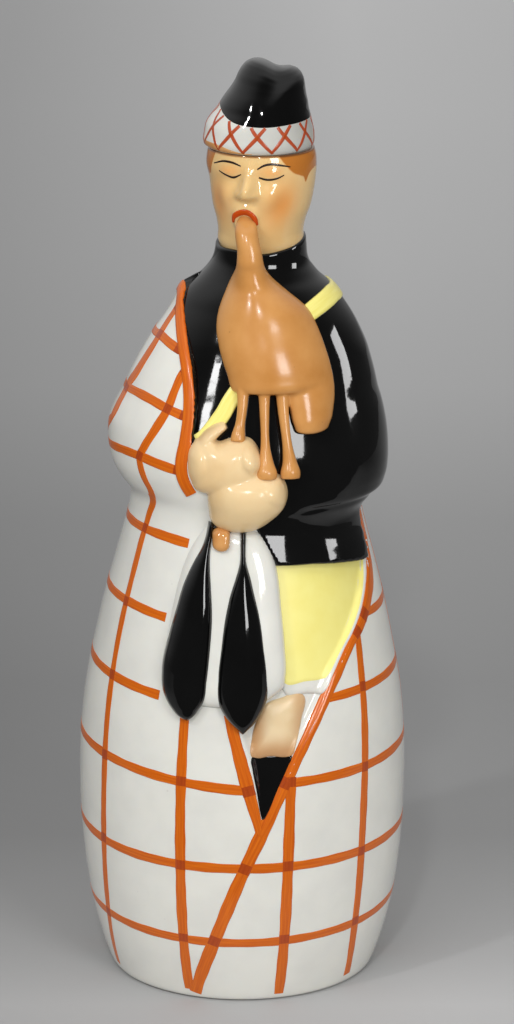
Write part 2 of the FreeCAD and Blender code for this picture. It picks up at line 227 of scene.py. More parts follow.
def woven_faces(rows: int, columns: int, closed: bool) -> list[tuple[int, int, int, int]]:
    """Quads of a grid of points stored row by row.

    Args:
        rows, columns: size of the grid.
        closed: whether the last column joins the first.

    Returns:
        Lists of four point numbers, facing outwards for rows that rise and columns that turn anticlockwise.
    """
    across = np.arange(columns if closed else columns - 1)
    after = (across + 1) % columns
    base = np.arange(rows - 1)[:, None] * columns
    corners = [base + across, base + after, base + columns + after, base + columns + across]
    return np.stack(corners, axis=-1).reshape(-1, 4).tolist()


def make_object(name: str, points: Array, faces: list, finishes: Sequence[Material]) -> Piece:
    """New smooth mesh object at the origin.

    Args:
        name: piece name.
        points: places in millimetres.
        faces: lists of point numbers.
        finishes: materials for its slots.

    Returns:
        The object, linked to the scene.
    """
    mesh = bpy.data.meshes.new(name)
    mesh.from_pydata((np.asarray(points) * MM).tolist(), [], faces)
    mesh.polygons.foreach_set("use_smooth", np.ones(len(mesh.polygons), bool))
    for finish in finishes:
        mesh.materials.append(finish)
    piece = bpy.data.objects.new(name, mesh)
    bpy.context.scene.collection.objects.link(piece)
    return piece


def stacked(rings: list[Array], start: Array | None, end: Array | None) -> Lump:
    """Points and faces of a skin over closed rings, with optional end points that close it.

    Args:
        rings: arrays of points, all of one length.
        start, end: points that close the first and the last ring, or None.

    Returns:
        Points and faces.
    """
    columns = len(rings[0])
    points = np.vstack(rings)
    faces = woven_faces(len(rings), columns, True)
    across = range(columns)
    if start is not None:
        faces += [(len(points), (i + 1) % columns, i) for i in across]
        points = np.vstack([points, start[None]])
    if end is not None:
        last = (len(rings) - 1) * columns
        faces += [(len(points), last + i, last + (i + 1) % columns) for i in across]
        points = np.vstack([points, end[None]])
    return points, faces


def capped(rings: list[Array]) -> Lump:
    """Points and faces of a skin over rings, closed at the middle of both end rings."""
    return stacked(rings, rings[0].mean(axis=0), rings[-1].mean(axis=0))


def outward(piece: Piece) -> None:
    """Turns the faces of a closed piece outwards.

    Args:
        piece: mesh piece, changed in place.
    """
    shape = bmesh.new()
    shape.from_mesh(piece.data)
    bmesh.ops.recalc_face_normals(shape, faces=shape.faces)
    shape.to_mesh(piece.data)
    shape.free()


def settle(piece: Piece) -> None:
    """Applies a piece's modifiers and removes them.

    Args:
        piece: mesh piece, changed in place.
    """
    seen = piece.evaluated_get(bpy.context.evaluated_depsgraph_get())
    mesh = bpy.data.meshes.new_from_object(seen)
    piece.modifiers.clear()
    old = piece.data
    piece.data = mesh
    bpy.data.meshes.remove(old)
    mesh.polygons.foreach_set("use_smooth", np.ones(len(mesh.polygons), bool))


def fused(name: str, lumps: list[Lump], voxel: float, rounds: int, finish: Material) -> Piece:
    """One soft skin over several closed lumps, as slip fills the corners between laid-on clay.

    Args:
        name: piece name.
        lumps: points and faces of each closed lump.
        voxel: mesh size in millimetres.
        rounds: smoothing rounds.
        finish: material.

    Returns:
        The piece.
    """
    points, faces, count = [], [], 0
    for lump_points, lump_faces in lumps:
        points.append(lump_points)
        faces += [tuple(i + count for i in face) for face in lump_faces]
        count += len(lump_points)
    piece = make_object(name, np.vstack(points), faces, [finish])
    outward(piece)
    remesh = piece.modifiers.new("skin", "REMESH")
    remesh.mode = "VOXEL"
    remesh.voxel_size = voxel * MM
    soften = piece.modifiers.new("soften", "SMOOTH")
    soften.factor = 0.5
    soften.iterations = rounds
    settle(piece)
    piece.data.materials.clear()
    piece.data.materials.append(finish)
    return piece


def lump_of(piece: Piece) -> Lump:
    """Points, in millimetres, and faces of a piece, which is then removed.

    Args:
        piece: mesh piece.

    Returns:
        Points and faces.
    """
    points = np.array([v.co for v in piece.data.vertices], float) / MM
    faces = [tuple(p.vertices) for p in piece.data.polygons]
    mesh = piece.data
    bpy.data.objects.remove(piece)
    bpy.data.meshes.remove(mesh)
    return points, faces


def paint_on(piece: Piece, colours: Array) -> None:
    """Stores a painted colour and its cover at each point of a piece."""
    layer = piece.data.attributes.new("paint", "FLOAT_COLOR", "POINT")
    layer.data.foreach_set("color", colours.astype(np.float32).ravel())


def dress(piece: Piece, body: Body, slot: Slot, *nodes: str) -> None:
    """Parents a piece to its body and hides the solids that it stands for.

    Args:
        piece: the finished piece.
        body: body it moves with.
        slot: not used.
        nodes: solids that it replaces.
    """
    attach(piece, body.value)
    if nodes:
        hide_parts(*nodes)
    log.info("%s: %d faces on %s", piece.name, len(piece.data.polygons), body.value)


class Wiring:
    """A node tree with short ways to add nodes and link them."""

    def __init__(self, tree: bpy.types.NodeTree) -> None:
        """Keeps the tree."""
        self.tree = tree

    def feed(self, socket: Socket, value: object) -> None:
        """Links an input to an output, or sets its value."""
        if isinstance(value, Socket):
            self.tree.links.new(value, socket)
        else:
            socket.default_value = value

    def add(self, kind: str, inputs: dict | None = None, **settings: object) -> bpy.types.Node:
        """New node.

        Args:
            kind: Blender's name of the node type.
            inputs: values or outputs for its inputs, by name or number.
            settings: properties of the node, set before its inputs.

        Returns:
            The node.
        """
        node = self.tree.nodes.new(kind)
        for name, value in settings.items():
            setattr(node, name, value)
        for key, value in (inputs or {}).items():
            self.feed(node.inputs[key], value)
        return node

    def maths(self, operation: str, first: object, second: object) -> Socket:
        """Number from two outputs or values."""
        return self.add("ShaderNodeMath", {0: first, 1: second}, operation=operation).outputs["Value"]

    def noise(self, place: Socket, scale: float, detail: float = 2.0) -> Socket:
        """Cloudy number from a place."""
        inputs = {"Vector": place, "Scale": scale, "Detail": detail}
        return self.add("ShaderNodeTexNoise", inputs).outputs["Fac"]

    def cells(self, place: Socket, scale: float) -> Socket:
        """Distance of a place from the middle of its cell."""
        return self.add("ShaderNodeTexVoronoi", {"Vector": place, "Scale": scale}).outputs["Distance"]

    def bump(self, height: Socket, strength: float, distance: float) -> Socket:
        """Normal of a surface with a height on it."""
        inputs = {"Height": height, "Strength": strength, "Distance": distance}
        return self.add("ShaderNodeBump", inputs).outputs["Normal"]

    def blend(self, share: Socket, under: object, over: object) -> Socket:
        """Colour laid over another by a share."""
        return self.add("ShaderNodeMix", {0: share, 6: under, 7: over}, data_type="RGBA").outputs[2]

    def spread(self, value: Socket, source: tuple = (0.0, 1.0), target: tuple = (0.0, 1.0),
               **settings: object) -> Socket:
        """Number moved from one range to another.

        Args:
            value: the number.
            source, target: ends of both ranges, as values or outputs.
            settings: properties of the node.

        Returns:
            The number in the new range.
        """
        keys = ("From Min", "From Max", "To Min", "To Max")
        inputs = dict(zip(keys, (*source, *target))) | {"Value": value}
        return self.add("ShaderNodeMapRange", inputs, **settings).outputs["Result"]

    def ramp(self, share: Socket, stops: Sequence[tuple[float, Tone]]) -> Socket:
        """Colour from a number.

        Args:
            share: number from 0 to 1.
            stops: rising places from 0 to 1, each with its display colour.

        Returns:
            The colour.
        """
        node = self.add("ShaderNodeValToRGB", {"Fac": share})
        elements = node.color_ramp.elements
        elements[0].position, elements[1].position = stops[0][0], stops[-1][0]
        for at, _ in stops[1:-1]:
            elements.new(at)
        for element, (_, tone) in zip(elements, stops):
            element.color = linear(*tone)
        return node.outputs["Color"]


def started(name: str, sockets: dict[str, object]) -> tuple[Material, Wiring, bpy.types.NodeInputs]:
    """New node material.

    Args:
        name: material name.
        sockets: values of the shader's own inputs.

    Returns:
        The material, its wiring and the inputs of its shader.
    """
    material = bpy.data.materials.new(name)
    material.use_nodes = True
    inputs = material.node_tree.nodes["Principled BSDF"].inputs
    for socket, value in sockets.items():
        inputs[socket].default_value = value
    return material, Wiring(material.node_tree), inputs


@dataclass(frozen=True)
class Glaze:
    """A fired glaze over porcelain: two close tones, a fine ripple and a few pin specks."""

    name: str
    tone: Tone
    pooled: Tone
    roughness: tuple[float, float] = (0.06, 0.14)
    cloud: float = 90.0
    ripple: float = 0.012
    ripple_scale: float = 420.0
    specks: float = 0.0
    speck_tone: Tone = (70, 45, 30)
    coat: float = 0.35
    scatter: float = 0.0
    scatter_reach: Place = (0.0012, 0.0009, 0.0006)
    paint: str = ""

    def make(self) -> Material:
        """Builds the material.

        Returns:
            A node material that reads Object coordinates.
        """
        own = {"Coat Weight": self.coat, "Coat Roughness": 0.03, "IOR": 1.52}
        if self.scatter:
            own |= {"Subsurface Weight": self.scatter, "Subsurface Radius": self.scatter_reach,
                    "Subsurface Scale": 1.0}
        material, wiring, shader = started(self.name, own)
        place = wiring.add("ShaderNodeTexCoord").outputs["Object"]
        cloud = wiring.noise(place, self.cloud, 4.0)
        colour = wiring.ramp(cloud, ((0.3, self.pooled), (0.62, self.tone)))
        # Colours from the paint attribute lie over the glaze: rouge, lids and hair on the head, and painted
        # shade on the knee and a painted shadow line at the head's rim.
        if self.paint:
            brushed = wiring.add("ShaderNodeAttribute", attribute_name=self.paint).outputs
            colour = wiring.blend(brushed["Alpha"], colour, brushed["Color"])
        if self.specks:
            colour = wiring.blend(self.speckle(wiring, place), colour, linear(*self.speck_tone))
        wiring.feed(shader["Base Color"], colour)
        wiring.feed(shader["Roughness"], wiring.spread(cloud, target=self.roughness))
        skin = wiring.bump(wiring.noise(place, self.ripple_scale), self.ripple, 0.001)
        for socket in ("Normal", "Coat Normal"):
            wiring.feed(shader[socket], skin)
        return material

    def speckle(self, wiring: Wiring, place: Socket) -> Socket:
        """Cover of small kiln specks, in patches.

        Args:
            wiring: the material's tree.
            place: coordinates.

        Returns:
            A share from 0 to 1.
        """
        near = wiring.spread(wiring.cells(place, 260.0), (0.1, 0.05))
        patchy = wiring.spread(wiring.noise(place, 170.0), (0.55, 0.66), (0.0, self.specks))
        return wiring.maths("MULTIPLY", near, patchy)


@dataclass(frozen=True)
class BrushedEnamel:
    """Overglaze enamel laid on with a flat brush: streaks run along the stroke."""

    name: str
    full: Tone
    thin: Tone
    roughness: float = 0.24
    coat: float = 0.08
    stretch: Place = (3.2, 70.0, 1.0)

    def make(self) -> Material:
        """Builds the material.

        Returns:
            A node material that reads the stroke's own attributes.
        """
        own = {"Roughness": self.roughness, "Coat Weight": self.coat, "Coat Roughness": 0.05}
        material, wiring, shader = started(self.name, own)
        across, along = (wiring.add("ShaderNodeAttribute", attribute_name=name).outputs["Fac"]
                         for name in ("across", "along"))
        brush = wiring.add("ShaderNodeCombineXYZ", {"X": across, "Y": along}).outputs["Vector"]
        place = wiring.add("ShaderNodeMapping", {"Vector": brush, "Scale": self.stretch}).outputs["Vector"]
        streaks = wiring.noise(place, 1.0, 5.0)
        wiring.feed(shader["Base Color"], wiring.ramp(streaks, ((0.32, self.full), (0.72, self.thin))))
        wiring.feed(shader["Normal"], wiring.bump(streaks, 0.05, 0.0005))
        return material


@dataclass(frozen=True)
class Bark:
    """Pressed cork: pale brown with dark pores."""

    name: str = "pressed_cork"
    pore_tone: Tone = (92, 60, 36)
    tone: Tone = (190, 148, 100)

    def make(self) -> Material:
        """Builds the material.

        Returns:
            A node material that reads Object coordinates.
        """
        material, wiring, shader = started(self.name, {"Roughness": 0.85})
        place = wiring.add("ShaderNodeTexCoord").outputs["Object"]
        pores = wiring.noise(place, 900.0, 6.0)
        wiring.feed(shader["Base Color"], wiring.ramp(pores, ((0.36, self.pore_tone), (0.52, self.tone))))
        wiring.feed(shader["Normal"], wiring.bump(wiring.cells(place, 650.0), 0.5, 0.0004))
        return material


@dataclass
class Palette:
    """All finishes of the decanter, made once."""

    white: Material = field(default_factory=Glaze(
        "white_porcelain_glaze", (228, 227, 219), (221, 220, 213), specks=0.12, scatter=0.15).make)
    black: Material = field(default_factory=Glaze(
        "black_mirror_glaze", (9, 9, 9), (6, 6, 6), (0.03, 0.08), coat=0.0).make)
    yellow: Material = field(default_factory=Glaze(
        "yellow_kilt_enamel", (246, 236, 141), (243, 231, 132), (0.3, 0.42), cloud=160.0, coat=0.0).make)
    cream: Material = field(default_factory=Glaze(
        "cream_hand_glaze", (233, 204, 156), (225, 191, 140), (0.15, 0.24), specks=0.15, coat=0.15,
        scatter=0.15).make)
    # The knee's paint attribute holds painted shade, darker towards its bottom and sides.
    knee: Material = field(default_factory=Glaze(
        "bare_knee_glaze", (232, 208, 167), (223, 195, 149), (0.3, 0.4), coat=0.0, scatter=0.15,
        paint="paint").make)
    face: Material = field(default_factory=Glaze(
        "painted_face_glaze", (233, 199, 141), (226, 188, 126), scatter=0.15, paint="paint").make)
    tan: Material = field(default_factory=Glaze(
        "caramel_bag_glaze", (208, 149, 84), (194, 132, 66), (0.2, 0.28), specks=0.55, coat=0.1).make)
    brown: Material = field(default_factory=Glaze(
        "brown_knob_glaze", (216, 160, 98), (192, 124, 62), specks=0.2).make)
    bare: Material = field(default_factory=Glaze(
        "bare_fired_porcelain", (222, 214, 200), (208, 198, 182), (0.5, 0.75), ripple=0.08, coat=0.0).make)
    cork: Material = field(default_factory=Bark().make)
    orange: Material = field(default_factory=BrushedEnamel(
        "orange_brushed_enamel", (194, 84, 4), (220, 112, 12)).make)
    crossing: Material = field(default_factory=BrushedEnamel(
        "orange_double_coat", (156, 58, 9), (180, 74, 14)).make)
    russet: Material = field(default_factory=BrushedEnamel(
        "russet_lattice_enamel", (160, 60, 28), (190, 88, 50)).make)
    ink: Material = field(default_factory=BrushedEnamel(
        "black_line_enamel", (24, 17, 15), (54, 38, 30)).make)
    lip: Material = field(default_factory=BrushedEnamel(
        "red_lip_enamel", (184, 60, 6), (202, 82, 10)).make)
    belt: Material = field(default_factory=BrushedEnamel(
        "yellow_belt_enamel", (240, 227, 118), (247, 238, 146), 0.2).make)


class Shell:
    """A round surface given by level ovals: height, sideways shift, half width and half depth."""

    def __init__(self, stations: Pairs) -> None:
        """Keeps the ovals, from the lowest up."""
        self.stations = stations

    def oval(self, height: Array) -> tuple[Array, Array, Array]:
        """Shift, half width and half depth at a height."""
        values = through(self.stations, height)
        return values[..., 0], values[..., 1], values[..., 2]

    def relief(self, turn: Array, height: Array) -> Array:
        """How far the finished surface stands out from the ovals; none on a plain shell."""
        return np.zeros(np.broadcast(turn, height).shape)

    def point(self, turn: Array, height: Array, rise: Array | float = 0.0) -> Array:
        """Place on the finished surface.

        Args:
            turn: angle in degrees from the front, towards the right as seen.
            height: height in millimetres.
            rise: extra distance outwards.

        Returns:
            Places in millimetres, with a last axis of three.
        """
        shift, wide, deep = self.oval(height)
        angle = np.radians(turn)
        lift = self.relief(turn, height) + rise
        nx, ny = np.sin(angle) / wide, -np.cos(angle) / deep
        size = np.hypot(nx, ny)
        x = shift + wide * np.sin(angle) + lift * nx / size
        y = -deep * np.cos(angle) + lift * ny / size
        return np.stack([x, y, np.broadcast_to(np.asarray(height, float), x.shape)], axis=-1)

    def turn_at(self, x: Array, height: Array) -> Array:
        """Angle of the front surface at a sideways place."""
        shift, wide, _ = self.oval(height)
        return np.degrees(np.arcsin(np.clip((np.asarray(x, float) - shift) / wide, -1, 1)))

    def front(self, x: Array, height: Array) -> Array:
        """Depth (y) of the front surface at a sideways place and height.

        Args:
            x, height: places in millimetres.

        Returns:
            Depths in millimetres.
        """
        turn = self.turn_at(x, height)
        for _ in range(3):
            reached = self.point(turn, height)
            short = np.asarray(x) - reached[..., 0]
            turn = turn + np.degrees(short / np.maximum(LEAST_HALF_WIDTH, self.oval(height)[1]))
        return self.point(turn, height)[..., 1]

    def raised(self, x: Array, height: Array, lift: Array | float) -> Array:
        """Places in front of the surface, by a lift towards the viewer."""
        return np.column_stack([x, self.front(x, height) - lift, height])


def crowned(rise: float, power: float) -> RiseRule:
    """Rule for a pad that swells from its edge to its middle.

    Args:
        rise: height in the middle.
        power: fullness; 2 is an ellipse, more is flatter on top.

    Returns:
        Height from the share of the way in and the distance from the edge.
    """
    def height(share: Array, edge: Array) -> Array:
        """Height at a share of the way in."""
        return rise * (1 - (1 - share) ** power) ** (1 / power)

    return height


def rolled(rise: float, run: float, power: float = 2.0) -> RiseRule:
    """Rule for a flat layer whose edge rolls off.

    Args:
        rise: height of the flat part.
        run: breadth of the rolled edge.
        power: fullness of the roll.

    Returns:
        Height from the share of the way in and the distance from the edge.
    """
    def height(share: Array, edge: Array) -> Array:
        """Height at a distance from the edge."""
        return rise * np.sqrt(np.clip(1 - (1 - np.clip(edge / run, 0, 1)) ** power, 0, 1))

    return height


def lens(shape: Shell, outline: Pairs, centre: tuple[float, float], rise: RiseRule,
         sink: float = 1.0, columns: int = 160, steps: int = 26) -> Lump:
    """A closed pad of clay laid on the front of a shell.

    Args:
        shape: shell that carries it.
        outline: corners in sideways place and height.
        centre: point of the outline that all its edge can be seen from.
        rise: height over the shell, from the share of the way in (0 to 1) and the distance from the edge.
        sink: depth of its underside in the shell.
        columns, steps: mesh divisions round and inwards.

    Returns:
        Points and faces.
    """
    edge = ring_of(outline, columns)
    middle = np.asarray(centre, float)
    reach = np.linalg.norm(edge - middle, axis=1)
    rings = []
    for share in 1 - (1 - np.linspace(0, 0.985, steps)) ** 1.35:
        flat = edge + (middle - edge) * share
        lift = rise(np.full(columns, share), share * reach)
        rings.append(shape.raised(flat[:, 0], flat[:, 1], lift))
    top = np.array([middle[0], float(np.mean(rings[-1][:, 1])), middle[1]])
    under = []
    for share in (0.9, 0.6, 0.3, 0.0):
        flat = edge + (middle - edge) * share
        under.append(shape.raised(flat[:, 0], flat[:, 1], -sink))
    bottom = np.array([middle[0], float(np.mean(under[0][:, 1])), middle[1]])
    return stacked(under + rings, bottom, top)


def spindle(shape: Shell, stations: Pairs, sink: float = 1.0, columns: int = 28, step: float = 0.6,
            blunt: float = 1.0) -> Lump:
    """A long pad laid on the front of a shell along a line.

    Args:
        shape: shell that carries it.
        stations: sideways place, height, half width and rise along the line.
        sink: depth of its underside in the shell.
        columns: mesh divisions round it.
        step: mesh spacing along it.
        blunt: power of the cross-section; below 1 it is fuller.

    Returns:
        Points and faces.
    """
    line = drawn(stations, step)
    along = np.gradient(line[:, :2], axis=0)
    along /= np.linalg.norm(along, axis=1)[:, None]
    angle = angles_round(columns)
    up = np.sin(angle)
    rings = []
    for (x, height, wide, rise), (ax, az) in zip(line, along):
        offset = np.cos(angle) * wide
        px, pz = x + az * offset, height - ax * offset
        lift = np.where(up > 0, rise * np.abs(up) ** blunt, sink * up)
        rings.append(shape.raised(px, pz, lift))
    return capped(rings)


def tube(stations: Pairs, columns: int = 28, step: float = 0.5) -> Lump:
    """A round bar along a line in space.

    Args:
        stations: place (three values) and radius along the line.
        columns: mesh divisions round it.
        step: mesh spacing along it.

    Returns:
        Points and faces.
    """
    table = np.asarray(stations, float)
    run = run_along(table[:, :3])
    count = max(6, int(run[-1] / step))
    line = through(np.column_stack([run, table]), np.linspace(0, run[-1], count))
    along = np.gradient(line[:, :3], axis=0)
    along /= np.linalg.norm(along, axis=1)[:, None]
    angle = angles_round(columns)
    rings = []
    for (x, y, z, radius), axis in zip(line, along):
        side = np.cross(axis, (0, 1, 0))
        side /= np.linalg.norm(side)
        over = np.cross(side, axis)
        circle = np.outer(np.cos(angle), side) + np.outer(np.sin(angle), over)
        rings.append(np.array([x, y, z]) + radius * circle)
    return capped(rings)


class Strokes(Wiring):
    """Brush strokes laid on a surface with Geometry Nodes: a path, its breadth and its film of paint."""

    def __init__(self) -> None:
        """Builds the node tree once."""
        super().__init__(bpy.data.node_groups.new("brush_stroke", "GeometryNodeTree"))
        self.sockets: dict[str, str] = {}
        self.add_sockets()
        self.wire()

    def add_sockets(self) -> None:
        """Adds the named inputs and the output."""
        face = self.tree.interface
        face.new_socket(name="Geometry", in_out="OUTPUT", socket_type="NodeSocketGeometry")
        kinds = {"Geometry": "Geometry", "Surface": "Object", "Film": "Float", "Sink": "Float",
                 "Edge": "Float", "Spacing": "Float", "Finish": "Material"}
        for name, kind in kinds.items():
            socket = face.new_socket(name=name, in_out="INPUT", socket_type="NodeSocket" + kind)
            self.sockets[name] = socket.identifier

    def stored(self, geometry: Socket, name: str, kind: str, value: Socket) -> Socket:
        """Stores a named attribute on the points.

        Args:
            geometry: geometry to store it on.
            name: attribute name.
            kind: data type.
            value: field to store.

        Returns:
            The geometry with the attribute.
        """
        inputs = {"Geometry": geometry, "Name": name, "Value": value}
        node = self.add("GeometryNodeStoreNamedAttribute", inputs, data_type=kind, domain="POINT")
        return node.outputs["Geometry"]

    def named(self, name: str, kind: str = "FLOAT") -> Socket:
        """Reads a named attribute."""
        node = self.add("GeometryNodeInputNamedAttribute", {"Name": name}, data_type=kind)
        return node.outputs["Attribute"]

    def vectors(self, operation: str, first: Socket, second: Socket) -> Socket:
        """Vector from two vectors, or from a vector and a number when it scales."""
        inputs = {0: first, "Scale" if operation == "SCALE" else 1: second}
        return self.add("ShaderNodeVectorMath", inputs, operation=operation).outputs["Vector"]

    def unit(self, vector: Socket) -> Socket:
        """Vector of the same direction and a length of one."""
        return self.add("ShaderNodeVectorMath", {0: vector}, operation="NORMALIZE").outputs["Vector"]

    def facing(self, surface: Socket, place: Socket) -> Socket:
        """Normal of the surface nearest to a place.

        Args:
            surface: geometry.
            place: where to look from.

        Returns:
            The unit normal.
        """
        normal = self.add("GeometryNodeInputNormal").outputs["Normal"]
        inputs = {"Mesh": surface, "Value": normal, "Sample Position": place}
        sample = self.add("GeometryNodeSampleNearestSurface", inputs, data_type="FLOAT_VECTOR")
        return self.unit(sample.outputs["Value"])

    def wire(self) -> None:
        """Wires the path, its cross-section and the film."""
        given = self.add("NodeGroupInput").outputs
        inputs = {"Object": given["Surface"]}
        ground = self.add("GeometryNodeObjectInfo", inputs, transform_space="ORIGINAL").outputs["Geometry"]
        path = self.add("GeometryNodeMeshToCurve", {"Mesh": given["Geometry"]}).outputs["Curve"]
        inputs = {"Curve": path, "Length": given["Spacing"]}
        even = self.add("GeometryNodeResampleCurve", inputs, mode="LENGTH").outputs["Curve"]
        place = self.add("GeometryNodeInputPosition").outputs["Position"]
        tangent = self.add("GeometryNodeInputTangent").outputs["Tangent"]
        side = self.unit(self.vectors("CROSS_PRODUCT", tangent, self.facing(ground, place)))
        along = self.add("GeometryNodeSplineParameter").outputs["Length"]
        curve = self.stored(even, "centre", "FLOAT_VECTOR", place)
        curve = self.stored(curve, "side", "FLOAT_VECTOR", side)
        curve = self.stored(curve, "along", "FLOAT", along)
        inputs = {"Resolution": 14, "Radius": 1.0}
        ring = self.add("GeometryNodeCurvePrimitiveCircle", inputs, mode="RADIUS").outputs["Curve"]
        parts = self.add("ShaderNodeSeparateXYZ", {"Vector": place}).outputs
        profile = self.stored(ring, "across", "FLOAT", parts["X"])
        profile = self.stored(profile, "rise", "FLOAT", parts["Y"])
        inputs = {"Curve": curve, "Profile Curve": profile, "Fill Caps": True}
        sweep = self.add("GeometryNodeCurveToMesh", inputs).outputs["Mesh"]
        half = self.maths("MULTIPLY", self.named("breadth"), 0.5)
        reach = self.maths("MULTIPLY", half, self.named("across"))
        aside = self.vectors("SCALE", self.named("side", "FLOAT_VECTOR"), reach)
        wanted = self.vectors("ADD", self.named("centre", "FLOAT_VECTOR"), aside)
        inputs = {0: ground, "Sample Position": wanted}
        nearest = self.add("GeometryNodeProximity", inputs, target_element="FACES").outputs["Position"]
        rise = self.named("rise")
        full = self.maths("POWER", self.maths("MAXIMUM", rise, 0.0), given["Edge"])
        film = self.maths("MULTIPLY", full, given["Film"])
        buried = self.maths("MULTIPLY", self.maths("MINIMUM", rise, 0.0), given["Sink"])
        lift = self.vectors("SCALE", self.facing(ground, wanted), self.maths("ADD", film, buried))
        inputs = {"Geometry": sweep, "Position": self.vectors("ADD", nearest, lift)}
        placed = self.add("GeometryNodeSetPosition", inputs).outputs["Geometry"]
        real = self.add("GeometryNodeRealizeInstances", {"Geometry": placed}).outputs["Geometry"]
        finish = self.add("GeometryNodeSetMaterial", {"Geometry": real, "Material": given["Finish"]})
        self.add("NodeGroupOutput", {"Geometry": finish.outputs["Geometry"]})

    def lay(self, name: str, paths: Sequence[Stroke], surface: Piece, finish: Material, film: float = 0.1,
            sink: float = 0.4, edge: float = 0.35, spacing: float = 0.9) -> Piece:
        """Lays strokes on a surface.

        Args:
            name: piece name.
            paths: for each stroke its places in millimetres and its breadth at each.
            surface: object that carries them.
            finish: paint.
            film, sink: thickness over the surface and depth under it, in millimetres.
            edge: power of the cross-section; small is flat with steep edges.
            spacing: mesh spacing along a stroke in millimetres.

        Returns:
            One mesh piece with all the strokes.
        """
        points = np.vstack([p for p, _ in paths]) * MM
        breadth = np.concatenate([np.broadcast_to(b, len(p)) for p, b in paths]) * MM
        edges, count = [], 0
        for place, _ in paths:
            edges += [(count + i, count + i + 1) for i in range(len(place) - 1)]
            count += len(place)
        mesh = bpy.data.meshes.new(name + "_paths")
        mesh.from_pydata(points.tolist(), edges, [])
        layer = mesh.attributes.new("breadth", "FLOAT", "POINT")
        layer.data.foreach_set("value", breadth.astype(np.float32))
        carrier = bpy.data.objects.new(name, mesh)
        bpy.context.scene.collection.objects.link(carrier)
        modifier = carrier.modifiers.new("brush", "NODES")
        modifier.node_group = self.tree
        values = {"Surface": surface, "Film": film * MM, "Sink": sink * MM, "Edge": edge,
                  "Spacing": spacing * MM, "Finish": finish}
        for key, value in values.items():
            modifier[self.sockets[key]] = value
        settle(carrier)
        for extra in ("centre", "side", "breadth", "rise"):
            if extra in carrier.data.attributes:
                carrier.data.attributes.remove(carrier.data.attributes[extra])
        outward(carrier)
        return carrier


def brushed(shape: Shell, points: Pairs, flat: bool, step: float = 0.8) -> Stroke:
    """Path of one hand-painted stroke on a shell; its breadth wavers a little.

    Args:
        shape: shell that carries it.
        points: place, height and breadth; the place is sideways if flat, else an angle in degrees.
        flat: whether places are sideways places on the front.
        step: spacing along the stroke.

    Returns:
        Places in millimetres and breadths.
    """
    line = drawn(points, step)
    turn = shape.turn_at(line[:, 0], line[:, 1]) if flat else line[:, 0]
    place = shape.point(turn, line[:, 1])
    run = run_along(place)
    start = line[0, 0] + line[0, 1]
    waver = 1 + 0.045 * np.sin(0.31 * run + start) + 0.03 * np.sin(0.83 * run + 2 * start)
    return place, line[:, 2] * waver


def crossings(paths: Sequence[Stroke], near: float = 0.95, longest: int = 9) -> list[Stroke]:
    """Short strokes where two strokes lie over each other.

    Args:
        paths: strokes as places and breadths.
        near: distance at which two strokes count as crossing.
        longest: most path points of one crossing; a longer meeting is not a crossing.

    Returns:
        One patch for each crossing, along the first stroke and as long as the second is broad.
    """
    patches = []
    for number, (first, broad) in enumerate(paths):
        for second, narrow in paths[number + 1:]:
            gap = np.linalg.norm(first[:, None] - second[None], axis=-1)
            close = gap.min(axis=1)
            met = np.flatnonzero(close < near)
            for group in np.split(met, np.flatnonzero(np.diff(met) > 2) + 1):
                if not 0 < len(group) < longest:
                    continue
                at = group[np.argmin(close[group])]
                other = int(np.argmin(gap[at]))
                along = heading(first, at)
                slant = np.linalg.norm(np.cross(along, heading(second, other)))
                if slant < 0.35:
                    continue
                half = narrow[other] / 2 / max(slant, 0.6)
                places = first[at] + np.outer(np.linspace(-half, half, 5), along)
                patches.append((places, np.full(5, broad[at])))
    return patches


def heading(path: Array, at: int) -> Array:
    """Unit direction of a path at one of its points."""
    step = path[min(at + 1, len(path) - 1)] - path[max(at - 1, 0)]
    return step / np.linalg.norm(step)


PLAID_OVALS: Pairs = (
    (0, 0.0, 37.6, 37.6), (1.2, 0.0, 38.3, 38.3), (3.5, 0.0, 39.2, 39.2), (7, 0.0, 40.4, 40.4),
    (11, 0.0, 41.6, 41.6), (20, 0.0, 43.7, 43.7), (28.5, 0.0, 45.1, 45.1), (46, 0.0, 46.6, 46.6),
    (57, 0.0, 46.9, 46.9), (71.5, 0.1, 46.5, 46.5), (84, 0.2, 45.2, 45.2), (97, 0.3, 42.8, 42.8),
    (110, 0.5, 40.0, 40.0), (122, 0.7, 36.9, 36.9), (130.5, 0.8, 34.6, 34.6), (134.7, 0.9, 33.5, 33.4),
    (138.8, 1.0, 32.8, 32.5), (143, 2.4, 34.2, 33.2), (147, 3.4, 38.2, 34.4), (151, 3.0, 39.8, 35.0),
    (155, 2.7, 40.3, 34.8), (159.4, 2.6, 40.4, 33.8), (163.5, 2.7, 40.0, 32.6), (167.6, 3.0, 38.6, 31.4),
    (171.7, 3.3, 36.6, 30.2), (175.8, 3.8, 35.4, 28.8), (180, 4.3, 33.8, 27.4), (184, 4.7, 31.9, 26.0),
    (188, 4.8, 29.5, 24.4), (192, 4.9, 26.8, 22.4), (196, 5.0, 24.5, 20.3), (200, 5.0, 22.6, 18.6),
    (203, 5.1, 20.3, 17.3), (204.6, 5.1, 17.2, 15.8), (206, 5.2, 13.5, 13.2), (208, 5.2, 10.0, 10.4))

